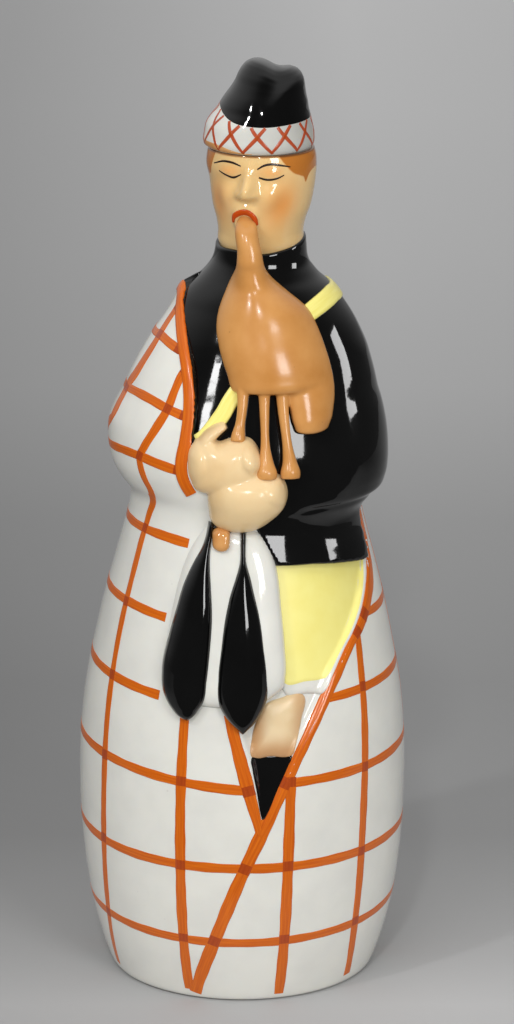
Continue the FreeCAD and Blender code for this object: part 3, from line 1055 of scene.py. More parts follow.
JACKET_OVALS: Pairs = (
    (119, 0.6, 38.2, 38.2), (124, 0.7, 37.2, 37.2), (130.5, 0.8, 35.2, 35.2), (134.7, 0.8, 33.9, 33.9),
    (138, 1.2, 33.3, 33.0), (141, 2.6, 34.2, 32.9), (143, 4.0, 35.2, 33.2), (147, 3.6, 37.4, 33.8),
    (151, 3.1, 38.4, 33.8), (155, 2.9, 38.6, 33.2), (159.4, 2.8, 38.4, 32.2), (163.5, 2.9, 37.7, 31.0),
    (167.6, 3.1, 36.6, 29.8), (171.7, 3.3, 35.2, 28.6), (175.8, 3.8, 33.8, 27.2), (180, 4.3, 32.2, 25.8),
    (184, 4.7, 30.6, 24.5), (188, 4.8, 28.8, 23.0), (192, 4.9, 26.7, 21.2), (196, 5.0, 24.1, 19.3),
    (200, 5.0, 21.2, 17.4), (202, 5.1, 19.2, 16.4), (204, 5.1, 16.9, 15.3), (206, 5.2, 15.1, 14.4),
    (208, 5.2, 13.7, 13.6), (211.7, 5.4, 12.8, 13.0), (213.5, 5.4, 12.6, 12.9))


@dataclass
class Jacket(Shell):
    """Black jacket: torso, collar and the skirt on the hip, with the yellow belt over it."""

    palette: Palette
    drape: Shell
    collar_top: float = 213.5
    collar_foot: float = 207.5
    lowest: float = 119.0
    columns: int = 320
    rows: int = 170
    middle_radius: float = 34.0
    border_reach: float = 1.5
    drape_top: float = 202.3
    drape_from: float = 164.0
    beyond: float = 222.0
    collar_roll: Pairs = ((0.985, 0.4), (0.95, 0.58), (0.9, 0.55), (0.86, 0.1), (0.84, -3.0))
    belt_line: Pairs = ((-14.6, 162.0), (-9.3, 165.9), (-5.5, 170.0), (-3.1, 174.0), (8.0, 186.5),
                        (19.0, 196.4), (23.2, 198.6), (25.4, 199.6))
    drape_edge: Pairs = ((-17.1, 200.7), (-17.3, 196.5), (-16.8, 191.5), (-15.9, 186.2), (-14.9, 180.7),
                         (-14.4, 174.9), (-14.6, 169.0), (-15.5, 163.0), (-16.7, 156.8), (-16.5, 153.6),
                         (-15.1, 150.1), (-13.9, 148.2))
    hem: Pairs = ((-20, 160.5), (-14, 153.0), (-7, 147.0), (3, 141.0), (8.3, 136.6), (15.5, 128.9),
                  (22, 128.6), (33, 128.2), (52, 126.4), (66, 124.9), (71.5, 124.6), (73, 127.0),
                  (74.5, 133.0), (77, 137.4), (82, 138.7), (105, 138.4), (130, 138.2), (160, 138.0),
                  (182, 138.2), (188.5, 140.2), (194.8, 143.6), (203.4, 148.8), (205, 150.6),
                  (207.6, 156.8), (206.4, 161.0))
    collar_line: Pairs = ((-180, 215.8), (-120, 214.4), (-80, 212.9), (-30, 212.9), (2, 212.2), (30, 213.0),
                          (80, 215.2), (130, 216.0), (180, 215.8))

    def __post_init__(self) -> None:
        """Sets the ovals, and the outline of the black that shows."""
        super().__init__(JACKET_OVALS)
        self.visible = self.visible_outline()

    def visible_outline(self) -> Array:
        """Outline of the black that shows, as arc length on a middle radius and height.

        Returns:
            Corners; the border of the plaid runs just outside it.
        """
        line = drawn(self.drape_edge, 0.8)
        line = line[line[:, 1] > self.drape_from]
        reach = np.degrees(self.border_reach / self.drape.oval(line[:, 1])[1])
        front = np.column_stack([self.drape.turn_at(line[:, 0], line[:, 1]) + reach, line[:, 1]])
        back = np.column_stack([180 - front[::-1, 0], front[::-1, 1]])
        start = [(-90.0, self.beyond), (-90.0, self.drape_top)]
        end = [(270.0, self.drape_top), (270.0, self.beyond)]
        turns = np.array(start + front.tolist() + list(self.hem) + back.tolist() + end)
        return np.column_stack([np.radians(turns[:, 0]) * self.middle_radius, turns[:, 1]])

    def black_by(self, turn: Array, height: Array) -> Array:
        """Distance inside the black that shows; negative outside it.

        Args:
            turn, height: places on the torso.

        Returns:
            Distances in millimetres.
        """
        turn, height = np.broadcast_arrays(np.asarray(turn, float), np.asarray(height, float))
        turn = signed_turn(turn)
        arcs = [np.radians(turn + way) * self.middle_radius for way in (0, 360)]
        return np.maximum(*(inside_by(self.visible, np.stack([arc, height], axis=-1)) for arc in arcs))

    def relief(self, turn: Array, height: Array) -> Array:
        """Crease at the waist, soft sleeve folds, and the edge that dives under its neighbours.

        Args:
            turn, height: places on the jacket.

        Returns:
            Distances outwards in millimetres.
        """
        black = self.black_by(turn, height)
        crease_at = 141.6 + 1.6 * np.cos(np.radians(turn - 20))
        fold = -0.9 * hump(height - crease_at, 1.0) * ease(16, 30, turn) * (1 - ease(150, 175, turn))
        elbow = 0.5 * hump(np.hypot((turn - 62) / 16, (height - 153) / 7), 1.0)
        return fold + elbow - 5.0 * (1 - ease(-1.8, -0.1, black))

    def build(self) -> Piece:
        """Builds the jacket.

        Returns:
            The jacket piece.
        """
        turn = np.linspace(-180, 180, self.columns, endpoint=False)
        heights = np.linspace(self.lowest, self.collar_top - 0.6, self.rows)
        rings = [self.point(turn, z) for z in heights]
        top = rings[-1]
        axis = on_axis(0)
        for shrink, rise in self.collar_roll:
            rings.append(axis + (top - axis) * np.array([shrink, shrink, 1]) + np.array([0, 0, rise]))
        collar = through(self.collar_line, turn)[:, 0]
        stretch = (collar - self.collar_foot) / (self.collar_top - self.collar_foot)
        for ring in rings:
            above = np.maximum(ring[:, 2] - self.collar_foot, 0)
            ring[:, 2] += above * (stretch - 1)
        foot = np.array([0.6, 0, self.lowest])
        points, faces = stacked(rings, foot, on_axis(self.collar_top - 4))
        return make_object("jacket", points, faces, [self.palette.black])

    def belt_path(self) -> list[Stroke]:
        """Slanted line of the belt round the torso.

        Returns:
            One stroke: over the chest, the shoulder and the back.
        """
        line = drawn(self.belt_line, 1.0)
        chest = self.turn_at(line[:, 0], line[:, 1])
        over = np.linspace(chest[-1], 180 - chest[-1], 14)[1:-1]
        turns = np.concatenate([chest, over, 180 - chest[::-1]])
        heights = np.concatenate([line[:, 1], np.full(len(over), line[-1, 1]), line[::-1, 1]])
        breadth = 4.7 + 0.8 * ease(10, 60, turns) * (1 - ease(120, 170, turns))
        breadth = breadth * np.where(turns < 90, 0.3 + 0.7 * ease(160.5, 169.5, heights), 1.0)
        return [(self.point(turns, heights), breadth)]

    def dress(self, jacket: Piece, strokes: Strokes) -> None:
        """Finishes the jacket and lays the belt on it.

        Args:
            jacket: the built piece.
            strokes: stroke maker.
        """
        belt = strokes.lay("belt", self.belt_path(), jacket, self.palette.belt, 0.7, 0.8, 0.3, 0.7)
        dress(jacket, Body.DECANTER, Slot.BLACK, "torso", "jacket_skirt")
        dress(belt, Body.DECANTER, Slot.YELLOW, "sash")


@dataclass
class Plaid(Shell):
    """White plaid: the round lower body and the loose end over the arm, with its orange check."""

    palette: Palette
    jacket: Jacket
    recess_depth: float = 2.4
    middle_radius: float = 43.0
    edge_breadth: float = 3.8
    opening_corners: Pairs = ((6.0, 133.0), (24.0, 133.0), (35.4, 128.4), (35.6, 121.0), (34.9, 115.1),
                              (32.8, 108.7), (26.2, 97.3), (16.3, 78.0), (6.9, 57.3), (5.7, 57.3),
                              (2.4, 75.5), (-1.5, 89.0), (-3.0, 100.0), (-2.0, 118.0))
    foot_ring: Pairs = ((12, 2.2), (24, 2.0), (29.6, 1.7), (30.6, 0.7), (31.3, 0.08), (32.2, 0.0),
                        (36.2, 0.0), (37.0, 0.1))
    bare_rows: tuple[int, ...] = (4, 5, 6)
    foot_rows: tuple[float, ...] = (0.5, 1.2, 2.2, 3.4)
    top: float = 208.0
    behind: Pairs = ((-163, 142.4), (-170, 139.2), (-176, 137.6))
    diagonal: Pairs = ((79.0, 139.4, 4.6), (77.5, 133.0, 5.6), (76.0, 126.0, 5.8), (73.0, 120.4, 5.4),
                       (65.5, 114.8, 4.4), (57.5, 109.5, 4.0), (47, 104.0, 3.8), (35, 93.9, 3.8),
                       (21, 77.3, 3.8), (8, 55.5, 3.8), (-0.5, 39.9, 3.7), (-10, 20.6, 3.7),
                       (-20, 2.0, 3.6))
    fold: Pairs = ((-4.8, 88.2, 2.8), (-1.6, 78.5, 3.6), (2.2, 67.0, 3.7), (7.2, 51.5, 2.2))
    waist: Pairs = ((79, 138.7, 3.2), (92, 138.0, 3.4), (130, 137.4, 3.5), (160, 137.2, 3.5),
                    (186, 137.5, 3.4))
    uprights: tuple[Pairs, ...] = (
        ((-66, 3, 2.2), (-61, 20, 2.5), (-57.5, 47, 2.8), (-56.5, 65, 2.8), (-57, 83, 2.7), (-58, 100, 2.6),
         (-58, 117, 2.6), (-57.7, 126, 2.6), (-57, 134.2, 2.6), (-54.6, 140.4, 2.6), (-50.8, 145.2, 2.6)),
        ((-22.5, 3, 2.9), (-22, 30, 3.1), (-21.5, 60, 3.1), (-21, 88, 2.8)),
        ((15.8, 2, 2.9), (16, 25, 3.2), (16.5, 50, 3.2), (17.2, 69.6, 3.0)),
        ((50.5, 3, 2.8), (48.4, 13, 2.8), (47, 40, 2.9), (47.6, 60, 2.9), (48.6, 74, 2.9),
         (52, 106.5, 2.6)))
    back_uprights: tuple[float, ...] = (93.0, 135.0, 177.0, 219.0, 261.0)
    hoops: tuple[Pairs, ...] = (
        ((-180, 22.0, 2.5), (-90, 22.0, 2.5), (-40, 20.4, 2.7), (0, 19.9, 2.8), (40, 20.6, 2.7),
         (90, 22.6, 2.5), (180, 22.0, 2.5)),
        ((-180, 45.5, 2.6), (-90, 45.6, 2.6), (-40, 43.8, 2.8), (0, 43.3, 2.9), (40, 43.4, 2.8),
         (90, 44.4, 2.6), (180, 45.5, 2.6)),
        ((1.6, 66.6, 3.0), (-22, 68.2, 2.8), (-60, 70.6, 2.7), (-90, 71.6, 2.6), (-135, 71.0, 2.6),
         (-180, 70.5, 2.6)),
        ((15.2, 68.2, 2.8), (48, 68.6, 2.8), (90, 69.8, 2.6), (135, 70.3, 2.6), (180, 70.5, 2.6)),
        ((-32, 91.6, 2.8), (-58, 93.2, 2.7), (-84, 94.2, 2.6), (-130, 94.0, 2.6), (-180, 93.5, 2.6)),
        ((33.6, 90.6, 2.6), (60, 91.0, 2.6), (90, 91.6, 2.6), (140, 93.0, 2.6), (180, 93.5, 2.6)),
        ((-33.5, 113.0, 2.7), (-57, 114.3, 2.6), (-80, 114.8, 2.5), (-130, 114.6, 2.5), (-180, 114.2, 2.5)),
        ((57, 110.3, 2.4), (76, 110.3, 2.5), (90, 110.8, 2.4), (140, 113.0, 2.5), (180, 114.2, 2.5)),
        ((-27.5, 133.7, 2.8), (-41.7, 134.4, 2.7), (-57, 134.7, 2.6), (-70, 134.8, 2.5), (-90, 134.8, 2.4),
         (-125, 135.2, 2.4), (-150, 135.0, 2.4)))
    drape_lines: tuple[Pairs, ...] = (
        ((-17.8, 196.4, 2.8), (-20.8, 191.7, 3.2), (-23.4, 187.5, 3.5), (-26.6, 182.3, 3.9),
         (-29.8, 176.9, 4.3), (-32.1, 173.0, 4.5), (-35.7, 165.8, 4.6)),
        ((-15.4, 181.6, 2.7), (-16.7, 179.8, 2.7), (-18.4, 176.1, 2.8), (-20.6, 170.6, 2.8),
         (-24.1, 164.8, 2.8), (-27.3, 159.3, 2.8), (-28.5, 156.4, 2.7), (-28.2, 153.9, 2.6),
         (-27.1, 150.4, 2.6), (-25.3, 146.6, 2.6), (-24.9, 144.8, 2.6)),
        ((-16.9, 186.0, 2.6), (-20.4, 187.4, 2.6), (-22.7, 188.3, 2.5), (-24.9, 188.0, 2.3)),
        ((-15.4, 169.4, 2.7), (-20.6, 170.8, 2.7), (-26.4, 172.5, 2.6), (-29.7, 172.9, 2.5),
         (-33.1, 172.6, 2.3)),
        ((-17.3, 154.7, 2.8), (-23.2, 155.8, 2.8), (-28.3, 156.8, 2.7), (-34.9, 156.8, 2.5),
         (-37.9, 156.0, 2.3)))
    over_arm: Pairs = ((-80.0, 164.0, 3.6), (-86.0, 161.6, 3.4), (-94.0, 158.4, 3.0), (-106.0, 153.6, 2.7),
                       (-124.0, 147.4, 2.6))

    def __post_init__(self) -> None:
        """Sets the ovals and the opening of the plaid."""
        super().__init__(self.jacket.drape.stations)
        table = np.array(self.opening_corners)
        turns = self.turn_at(table[:, 0], table[:, 1])
        self.opening = np.column_stack([np.radians(turns) * self.middle_radius, table[:, 1]])

    def relief(self, turn: Array, height: Array) -> Array:
        """The opening in front, and the edge that dives under the jacket.

        Args:
            turn, height: places on the plaid.

        Returns:
            Distances outwards in millimetres.
        """
        turn, height = np.broadcast_arrays(np.asarray(turn, float), np.asarray(height, float))
        place = np.stack([np.radians(turn) * self.middle_radius, height], axis=-1)
        depth = inside_by(self.opening, place)
        sunk = -self.recess_depth * ease(-0.5, 2.0, depth) * (0.25 + 0.75 * ease(56, 74, height))
        black = self.jacket.black_by(turn, height)
        return np.minimum(sunk, -4.2 * ease(-0.3, 1.2, black))

    def build(self) -> Piece:
        """Builds the plaid with its foot ring.

        Returns:
            The plaid piece.
        """
        turn = np.concatenate([np.arange(-100, 100, 0.7), np.arange(100, 259.5, 1.25)])
        count = len(turn)
        low = [level_ring(turn, radius, z, 0.0) for radius, z in self.foot_ring]
        coarse, fine = np.arange(5.0, 52.0, 2.0), np.arange(52.6, self.top, 0.8)
        heights = np.concatenate([self.foot_rows, coarse, fine])
        rings = low + [self.point(turn, z) for z in heights]
        points, faces = stacked(rings, np.array([0, 0, 2.3]), np.array([5.2, 0, self.top]))
        finishes = [self.palette.white, self.palette.bare, self.palette.black]
        piece = make_object("plaid", points, faces, finishes)
        rows = np.arange(len(faces)) // count
        glaze = np.isin(rows, self.bare_rows).astype(np.int32)
        across, levels = np.meshgrid(turn + 0.4, (heights[:-1] + heights[1:]) / 2)
        under = self.jacket.black_by(across, levels) > np.where(levels > 150, -0.9, -0.1)
        glaze[len(low) * count:(len(low) + len(under)) * count][under.ravel()] = 2
        piece.data.polygons.foreach_set("material_index", glaze)
        return piece

    def edge_path(self) -> Stroke:
        """Border of the loose end: up the chest, over the shoulder and down the back to the waist.

        Returns:
            One stroke.
        """
        line = drawn(self.jacket.drape_edge, 0.8)[::-1]
        chest = self.turn_at(line[:, 0], line[:, 1])
        back = np.column_stack([-180 - chest[::-1], line[::-1, 1]])[1:]
        path = np.vstack([np.column_stack([chest, line[:, 1]]), back, np.array(self.behind)])
        return self.point(path[:, 0], path[:, 1]), np.full(len(path), self.edge_breadth)

    def border_paths(self) -> list[Stroke]:
        """Broad border strokes along the plaid's edges."""
        strips = [brushed(self, line, False) for line in (self.diagonal, self.fold, self.waist)]
        return [self.edge_path()] + strips

    def check_paths(self) -> list[Stroke]:
        """Hoops and uprights of the check."""
        plain = [((turn, 2.5, 2.6), (turn, 68.0, 2.7), (turn, 136.4, 2.5)) for turn in self.back_uprights]
        return [brushed(self, line, False, 1.1) for line in (*self.uprights, *plain, *self.hoops)]

    def drape_paths(self) -> list[Stroke]:
        """Lines on the loose end: the first runs over the arm, the others are mirrored at the back.

        Returns:
            Strokes, each from its border.
        """
        first = np.array(self.drape_lines[0])
        first[:, 0] = self.turn_at(first[:, 0], first[:, 1])
        paths = [brushed(self, np.vstack([first, self.over_arm]), False)]
        for line in self.drape_lines[1:]:
            paths.append(brushed(self, line, True))
            table = np.array(line)
            table[:, 0] = 180 - self.turn_at(table[:, 0], table[:, 1])
            paths.append(brushed(self, table, False))
        return paths

    def dress(self, plaid: Piece, strokes: Strokes) -> None:
        """Finishes the plaid and paints it.

        Args:
            plaid: the built piece.
            strokes: stroke maker.
        """
        loose = self.drape_paths()
        lines = self.check_paths() + loose
        borders = self.border_paths()
        patches = crossings(lines) + [(place[:3], breadth[:3]) for place, breadth in loose]
        for border in borders[1:]:
            for line in lines:
                patches += crossings([border, line])
        check = strokes.lay("check", lines, plaid, self.palette.orange, 0.07)
        edge = strokes.lay("drape_border", borders[:1], plaid, self.palette.orange, 0.35)
        border = strokes.lay("border", borders[1:], plaid, self.palette.orange, 0.1)
        doubles = strokes.lay("check_crossings", patches, plaid, self.palette.crossing, 0.13, spacing=0.5)
        dress(plaid, Body.DECANTER, Slot.WHITE, "lower_body", "cloak_drape")
        for piece in (check, edge, border, doubles):
            dress(piece, Body.DECANTER, Slot.WHITE)


@dataclass
class LegOpening:
    """Kilt, bare knee and stocking in the opening of the plaid."""

    palette: Palette
    plaid: Plaid
    kilt: Pairs = ((9.0, 132.0), (20.0, 132.0), (34.6, 128.0), (35.4, 121.0), (34.3, 113.6), (32.2, 107.9),
                   (28.8, 102.4), (25.6, 96.4), (23.8, 92.9), (22.9, 91.9), (18.0, 92.1), (12.4, 92.4),
                   (11.7, 93.4), (11.6, 107.7), (10.5, 118.5))
    dyed: Pairs = ((8.6, 132.6), (9.2, 133.2), (20.0, 133.2), (33.4, 128.6), (34.5, 127.4), (35.0, 122.6),
                   (35.1, 120.0), (34.4, 114.8), (32.1, 108.6), (27.7, 101.3), (24.4, 95.9), (23.7, 95.1),
                   (23.0, 94.9), (17.6, 94.9), (11.9, 94.9), (11.3, 95.5), (11.2, 107.7), (9.8, 118.5))
    knee: Pairs = ((2.9, 76.0), (2.9, 81.0), (4.4, 86.5), (6.8, 90.4), (11.0, 91.8), (16.6, 92.5),
                   (17.4, 91.7), (16.7, 85.0), (15.2, 78.5), (14.3, 75.9), (13.7, 75.3), (8.0, 75.4),
                   (3.4, 75.4))
    stocking: Pairs = ((2.7, 75.4), (2.9, 75.9), (3.4, 76.1), (8.5, 76.0), (13.5, 76.0), (14.0, 75.8),
                       (14.1, 75.3), (13.2, 73.0), (10.2, 66.4), (6.8, 58.6), (6.4, 57.9), (6.0, 57.7),
                       (5.7, 58.0), (5.5, 58.8), (4.2, 66.4), (3.0, 73.0))

    def build(self) -> dict[str, Piece]:
        """Builds the layers.

        Returns:
            Pieces by name.
        """
        middle = (21.0, 112.0)
        pieces = {"kilt": self.layer("kilt", self.kilt, middle, rolled(0.55, 1.2), self.palette.white),
                  "enamel": self.layer("enamel", self.dyed, middle, rolled(0.63, 0.3), self.palette.yellow),
                  "knee": self.layer("knee", self.knee, (10.0, 84.0), rolled(1.3, 5.0), self.palette.knee),
                  "stocking": self.layer("stocking", self.stocking, (7.6, 71.0), rolled(0.45, 0.8),
                                         self.palette.black)}
        self.shade(pieces["knee"])
        return pieces

    def layer(self, name: str, outline: Pairs, centre: tuple[float, float], rise: RiseRule,
              finish: Material) -> Piece:
        """One layer of clay in the opening.

        Args:
            name: solid that it stands for.
            outline: corners in sideways place and height.
            centre: place that all its edge can be seen from.
            rise: height over the floor of the opening.
            finish: material.

        Returns:
            The piece.
        """
        piece = make_object(name + "_layer", *lens(self.plaid, outline, centre, rise, 0.9), [finish])
        outward(piece)
        return piece

    def shade(self, knee: Piece) -> None:
        """Paints shade round the knee: a tan that darkens it towards the bottom and both sides, stored as a
        colour attribute.

        Args:
            knee: the built layer.
        """
        places = np.array([v.co for v in knee.data.vertices]) / MM
        # Painted shade: its cover grows towards the bottom, the left and, more weakly, the right edge of
        # the knee.
        low = ease(83.0, 76.5, places[:, 2])
        left = ease(8.5, 3.5, places[:, 0])
        right = 0.6 * ease(12.5, 16.5, places[:, 0])
        colour = np.empty((len(places), 4), np.float32)
        colour[:] = linear(190, 132, 78)
        colour[:, 3] = 0.75 * np.maximum(np.maximum(low, left), right)
        paint_on(knee, colour)

    def dress(self, pieces: dict[str, Piece]) -> None:
        """Finishes the layers."""
        dress(pieces["enamel"], Body.DECANTER, Slot.YELLOW)
        for node, slot in (("kilt", Slot.YELLOW), ("knee", Slot.FLESH), ("stocking", Slot.BLACK)):
            dress(pieces[node], Body.DECANTER, slot, node)


@dataclass
class Pipes:
    """Wind bag, blowpipe and the three small pipes, one caramel relief."""

    palette: Palette
    jacket: Jacket
    voxel: float = 0.34
    bag: Pairs = ((176.4, -1.6, 19.0, -27.0, 3.0), (176.8, -2.6, 23.0, -26.0, 4.7),
                  (177.8, -3.1, 24.8, -25.0, 5.9), (180.6, -3.9, 25.2, -23.6, 6.7),
                  (184.4, -5.3, 24.4, -22.0, 7.2), (188.0, -6.3, 23.2, -20.6, 7.5),
                  (193.0, -7.1, 21.2, -19.0, 7.9), (198.0, -6.3, 18.3, -18.0, 8.6),
                  (202.0, -4.7, 13.6, -18.0, 8.6), (204.0, -3.8, 11.1, -18.2, 8.4),
                  (206.0, -2.9, 8.9, -18.6, 7.9), (208.0, -2.1, 7.4, -18.9, 6.3),
                  (210.0, -1.5, 6.5, -19.2, 4.3), (212.0, -1.3, 6.1, -19.2, 3.8),
                  (214.5, -1.2, 5.7, -19.0, 3.5), (218.4, -1.75, 4.75, -18.0, 3.3),
                  (220.5, -1.85, 4.5, -17.0, 3.1), (221.8, -1.5, 4.2, -15.6, 2.9),
                  (222.8, -0.9, 3.4, -14.0, 2.5), (223.6, 0.0, 2.4, -12.6, 1.8))
    tail: Pairs = ((164.9, 18.0, 20.8, 0.0, 1.2), (165.4, 16.0, 23.0, 0.0, 3.0),
                   (167.2, 14.6, 24.6, 0.0, 4.3), (171.2, 13.4, 25.7, 0.0, 4.9),
                   (175.6, 12.2, 26.0, 0.0, 4.9), (180.0, 10.6, 25.5, 0.0, 4.4),
                   (184.0, 9.0, 24.4, 0.0, 3.6), (188.0, 8.0, 22.4, 0.0, 2.4), (191.0, 8.0, 20.4, 0.0, 1.2))
    small_pipes: tuple[tuple[Pairs, float], ...] = (
        (((0.5, 180.0, 2.0), (0.2, 172.0, 1.4), (-0.4, 168.0, 1.45), (-0.8, 165.6, 1.95),
          (-1.0, 163.8, 2.1)), 2.0),
        (((6.3, 180.5, 2.0), (6.4, 172.0, 1.4), (6.7, 161.5, 1.5), (6.9, 158.0, 2.2), (6.95, 155.6, 3.0),
          (6.95, 153.9, 2.8)), 2.4),
        (((11.0, 180.5, 2.1), (11.6, 172.0, 1.55), (12.9, 161.5, 1.55), (13.4, 158.0, 2.1),
          (13.6, 155.4, 2.8), (13.65, 153.8, 2.6)), 2.4))

    def bar(self, line: Pairs, lift: float) -> Lump:
        """A small pipe on the chest.

        Args:
            line: sideways place, height and radius along it.
            lift: how far its axis stands off the chest.

        Returns:
            Points and faces.
        """
        depths = [float(self.jacket.front(np.array(x), np.array(z))) - lift for x, z, _ in line]
        return tube([(x, y, z, radius) for (x, z, radius), y in zip(line, depths)])

    def slices(self, table: Pairs, columns: int = 72) -> Lump:
        """A form stacked from level slices on the chest; it becomes a free pipe at the neck.

        Args:
            table: height, left and right edge, depth of the free axis, and rise.
            columns: mesh divisions round it.

        Returns:
            Points and faces.
        """
        ground = Shell(self.jacket.stations)
        low, high = table[0][0], table[-1][0]
        heights = np.concatenate([np.arange(high, low + 2.0, -0.6), np.linspace(low + 2.0, low, 9)])
        angle = angles_round(columns)
        up = np.sin(angle)
        rings = []
        for height in heights:
            left, right, axis, rise = through(table, np.array(height))
            x = (left + right) / 2 + (right - left) / 2 * np.cos(angle)
            free = float(ease(203, 212, np.array(height)))
            base = (1 - free) * ground.front(x, np.full(columns, height)) + free * axis
            sink = (1 - free) * 2.0 + free * rise
            lift = np.where(up > 0, rise, sink) * up
            rings.append(np.column_stack([x, base - lift, np.full(columns, height)]))
        return capped(rings)

    def build(self) -> Piece:
        """Builds the relief.

        Returns:
            The pipes piece.
        """
        forms = [self.slices(self.bag), self.slices(self.tail)]
        body = fused("bag_body", forms, self.voxel, 20, self.palette.tan)
        lumps = [lump_of(body)] + [self.bar(line, lift) for line, lift in self.small_pipes]
        return fused("pipes", lumps, self.voxel, 4, self.palette.tan)

    def dress(self, pipes: Piece) -> None:
        """Finishes the pipes."""
        drones = ("short_drone", "middle_drone", "long_drone")
        dress(pipes, Body.DECANTER, Slot.TAN, "bag", "blowpipe", *drones)


@dataclass
class Hands:
    """The two rounded hands, one above the other."""

    palette: Palette
    jacket: Jacket
    rise: float = 6.4
    voxel: float = 0.32
    upper: Pairs = ((-14.6, 161.5), (-12.5, 163.8), (-9.0, 164.6), (-6.2, 163.4), (-3.2, 164.4),
                    (2.6, 164.4), (5.0, 161.4), (6.0, 157.4), (4.6, 153.0), (-1.0, 149.6), (-9.2, 148.8),
                    (-13.0, 149.9), (-14.6, 153.4), (-15.2, 157.6))
    wrist: Pairs = ((-15.1, 157.5), (-14.5, 161.6), (-11.6, 164.2), (-9.0, 162.8), (-7.6, 158.6),
                    (-8.6, 152.0), (-12.6, 150.6), (-14.6, 153.4))
    knuckle: Pairs = ((-1.6, 160.0), (-0.2, 164.0), (2.8, 164.1), (5.0, 161.2), (5.9, 157.4), (3.8, 154.6),
                      (0.0, 155.6))
    lower: Pairs = ((-9.2, 150.4), (-7.0, 154.0), (-0.3, 155.6), (6.5, 155.5), (10.9, 154.3), (12.9, 149.9),
                    (12.1, 145.4), (8.7, 141.6), (3.9, 138.7), (-0.4, 138.0), (-5.0, 138.6), (-8.3, 140.3),
                    (-9.2, 144.0))
    finger: Pairs = ((3.0, 150.6), (5.4, 155.0), (10.4, 154.2), (12.7, 149.9), (11.9, 145.6), (7.4, 145.0))
    thumb: Pairs = ((-11.2, 160.8, 2.3, 4.4), (-9.2, 164.3, 2.0, 4.5), (-6.4, 166.8, 1.6, 4.0),
                    (-4.2, 168.0, 1.1, 3.0))

    def build(self) -> Piece:
        """Builds both hands as one soft form.

        Returns:
            The hands piece.
        """
        ground = Shell(self.jacket.stations)
        pads = ((self.upper, (-4.0, 158.0), 0.0, 2.3), (self.wrist, (-10.8, 158.0), -0.3, 2.0),
                (self.knuckle, (1.8, 159.4), 0.6, 2.0), (self.lower, (1.6, 147.6), 0.9, 2.3),
                (self.finger, (7.8, 149.8), 0.5, 2.0))
        lumps = [lens(ground, outline, centre, crowned(self.rise + more, power), 2.0)
                 for outline, centre, more, power in pads]
        lumps.append(spindle(ground, self.thumb, 1.5))
        return fused("hands", lumps, self.voxel, 14, self.palette.cream)

    def dress(self, hands: Piece) -> None:
        """Finishes both hands."""
        dress(hands, Body.DECANTER, Slot.FLESH, "upper_hand", "lower_hand")


@dataclass
class Purse:
    """White hair purse with two black tassels and its brown knob."""

    palette: Palette
    plaid: Plaid
    rise: float = 3.0
    knob_rise: float = 2.5
    outline: Pairs = ((-8.7, 139.4), (-2.0, 139.4), (4.6, 137.6), (7.9, 133.1), (9.9, 126.8), (11.0, 117.3),
                      (12.0, 106.4), (12.3, 99.0), (11.5, 95.2), (8.5, 92.8), (3.8, 90.6), (-4.5, 90.0),
                      (-12.9, 90.3), (-19.0, 90.9), (-21.6, 92.2), (-22.3, 95.0), (-21.9, 99.8),
                      (-20.4, 109.5), (-18.5, 119.2), (-16.2, 127.5), (-12.9, 134.6))
    left: Pairs = ((-8.3, 140.4, 0.85, 3.6), (-8.9, 137.0, 1.0, 4.0), (-9.7, 133.6, 1.45, 4.4),
                   (-10.8, 129.4, 2.6, 5.0), (-12.0, 123.0, 4.2, 5.8), (-13.0, 115.0, 5.5, 6.1),
                   (-14.3, 107.0, 6.3, 6.2), (-15.6, 98.5, 6.7, 6.1), (-15.8, 93.2, 6.1, 5.6),
                   (-15.6, 89.6, 4.2, 4.7), (-15.3, 87.2, 1.9, 3.4), (-15.2, 86.4, 0.5, 2.2))
    right: Pairs = ((0.6, 139.2, 0.85, 3.4), (0.5, 136.0, 0.95, 3.9), (0.5, 130.2, 1.2, 4.6),
                    (0.5, 126.0, 2.5, 5.2), (0.3, 121.0, 4.0, 5.8), (0.3, 115.6, 5.3, 6.1),
                    (0.3, 107.5, 6.5, 6.2), (0.3, 99.0, 7.5, 6.2), (0.2, 94.0, 7.4, 5.8),
                    (0.3, 89.8, 5.9, 5.1), (0.4, 86.0, 3.2, 4.1), (0.4, 83.6, 0.6, 2.4))
    knob: Pairs = ((-8.1, 136.4), (-7.8, 138.8), (-6.6, 139.6), (-4.6, 139.6), (-3.4, 138.8), (-3.1, 136.4),
                   (-3.5, 134.2), (-4.6, 133.4), (-6.6, 133.4), (-7.8, 134.2))

    def build(self) -> dict[str, Piece]:
        """Builds the purse, the tassels and the knob.

        Returns:
            Pieces by the solid that each stands for.
        """
        ground = Shell(self.plaid.stations)
        proud = Shell([(z, shift, wide + self.rise, deep + self.rise)
                       for z, shift, wide, deep in ground.stations])
        purse = lens(ground, self.outline, (-4.2, 112.0), rolled(self.rise, 9.0, 2.6), 4.0, 220, 30)
        knob = lens(proud, self.knob, (-5.6, 136.5), crowned(self.knob_rise, 2.4), 2.0, 64, 14)
        left, right = (spindle(ground, line, 0.5, 32, 0.5, 0.9) for line in (self.left, self.right))
        black = [self.palette.black]
        pieces = {"sporran": make_object("purse", *purse, [self.palette.white]),
                  "left_tassel": make_object("left_tassel_form", *left, black),
                  "right_tassel": make_object("right_tassel_form", *right, black),
                  "sporran_clasp": make_object("knob", *knob, [self.palette.brown])}
        for piece in pieces.values():
            outward(piece)
        return pieces

    def dress(self, pieces: dict[str, Piece]) -> None:
        """Finishes the purse and what hangs on it."""
        slots = {"sporran": Slot.WHITE, "left_tassel": Slot.BLACK, "right_tassel": Slot.BLACK,
                 "sporran_clasp": Slot.BROWN}
        for node, piece in pieces.items():
            dress(piece, Body.DECANTER, slots[node], node)


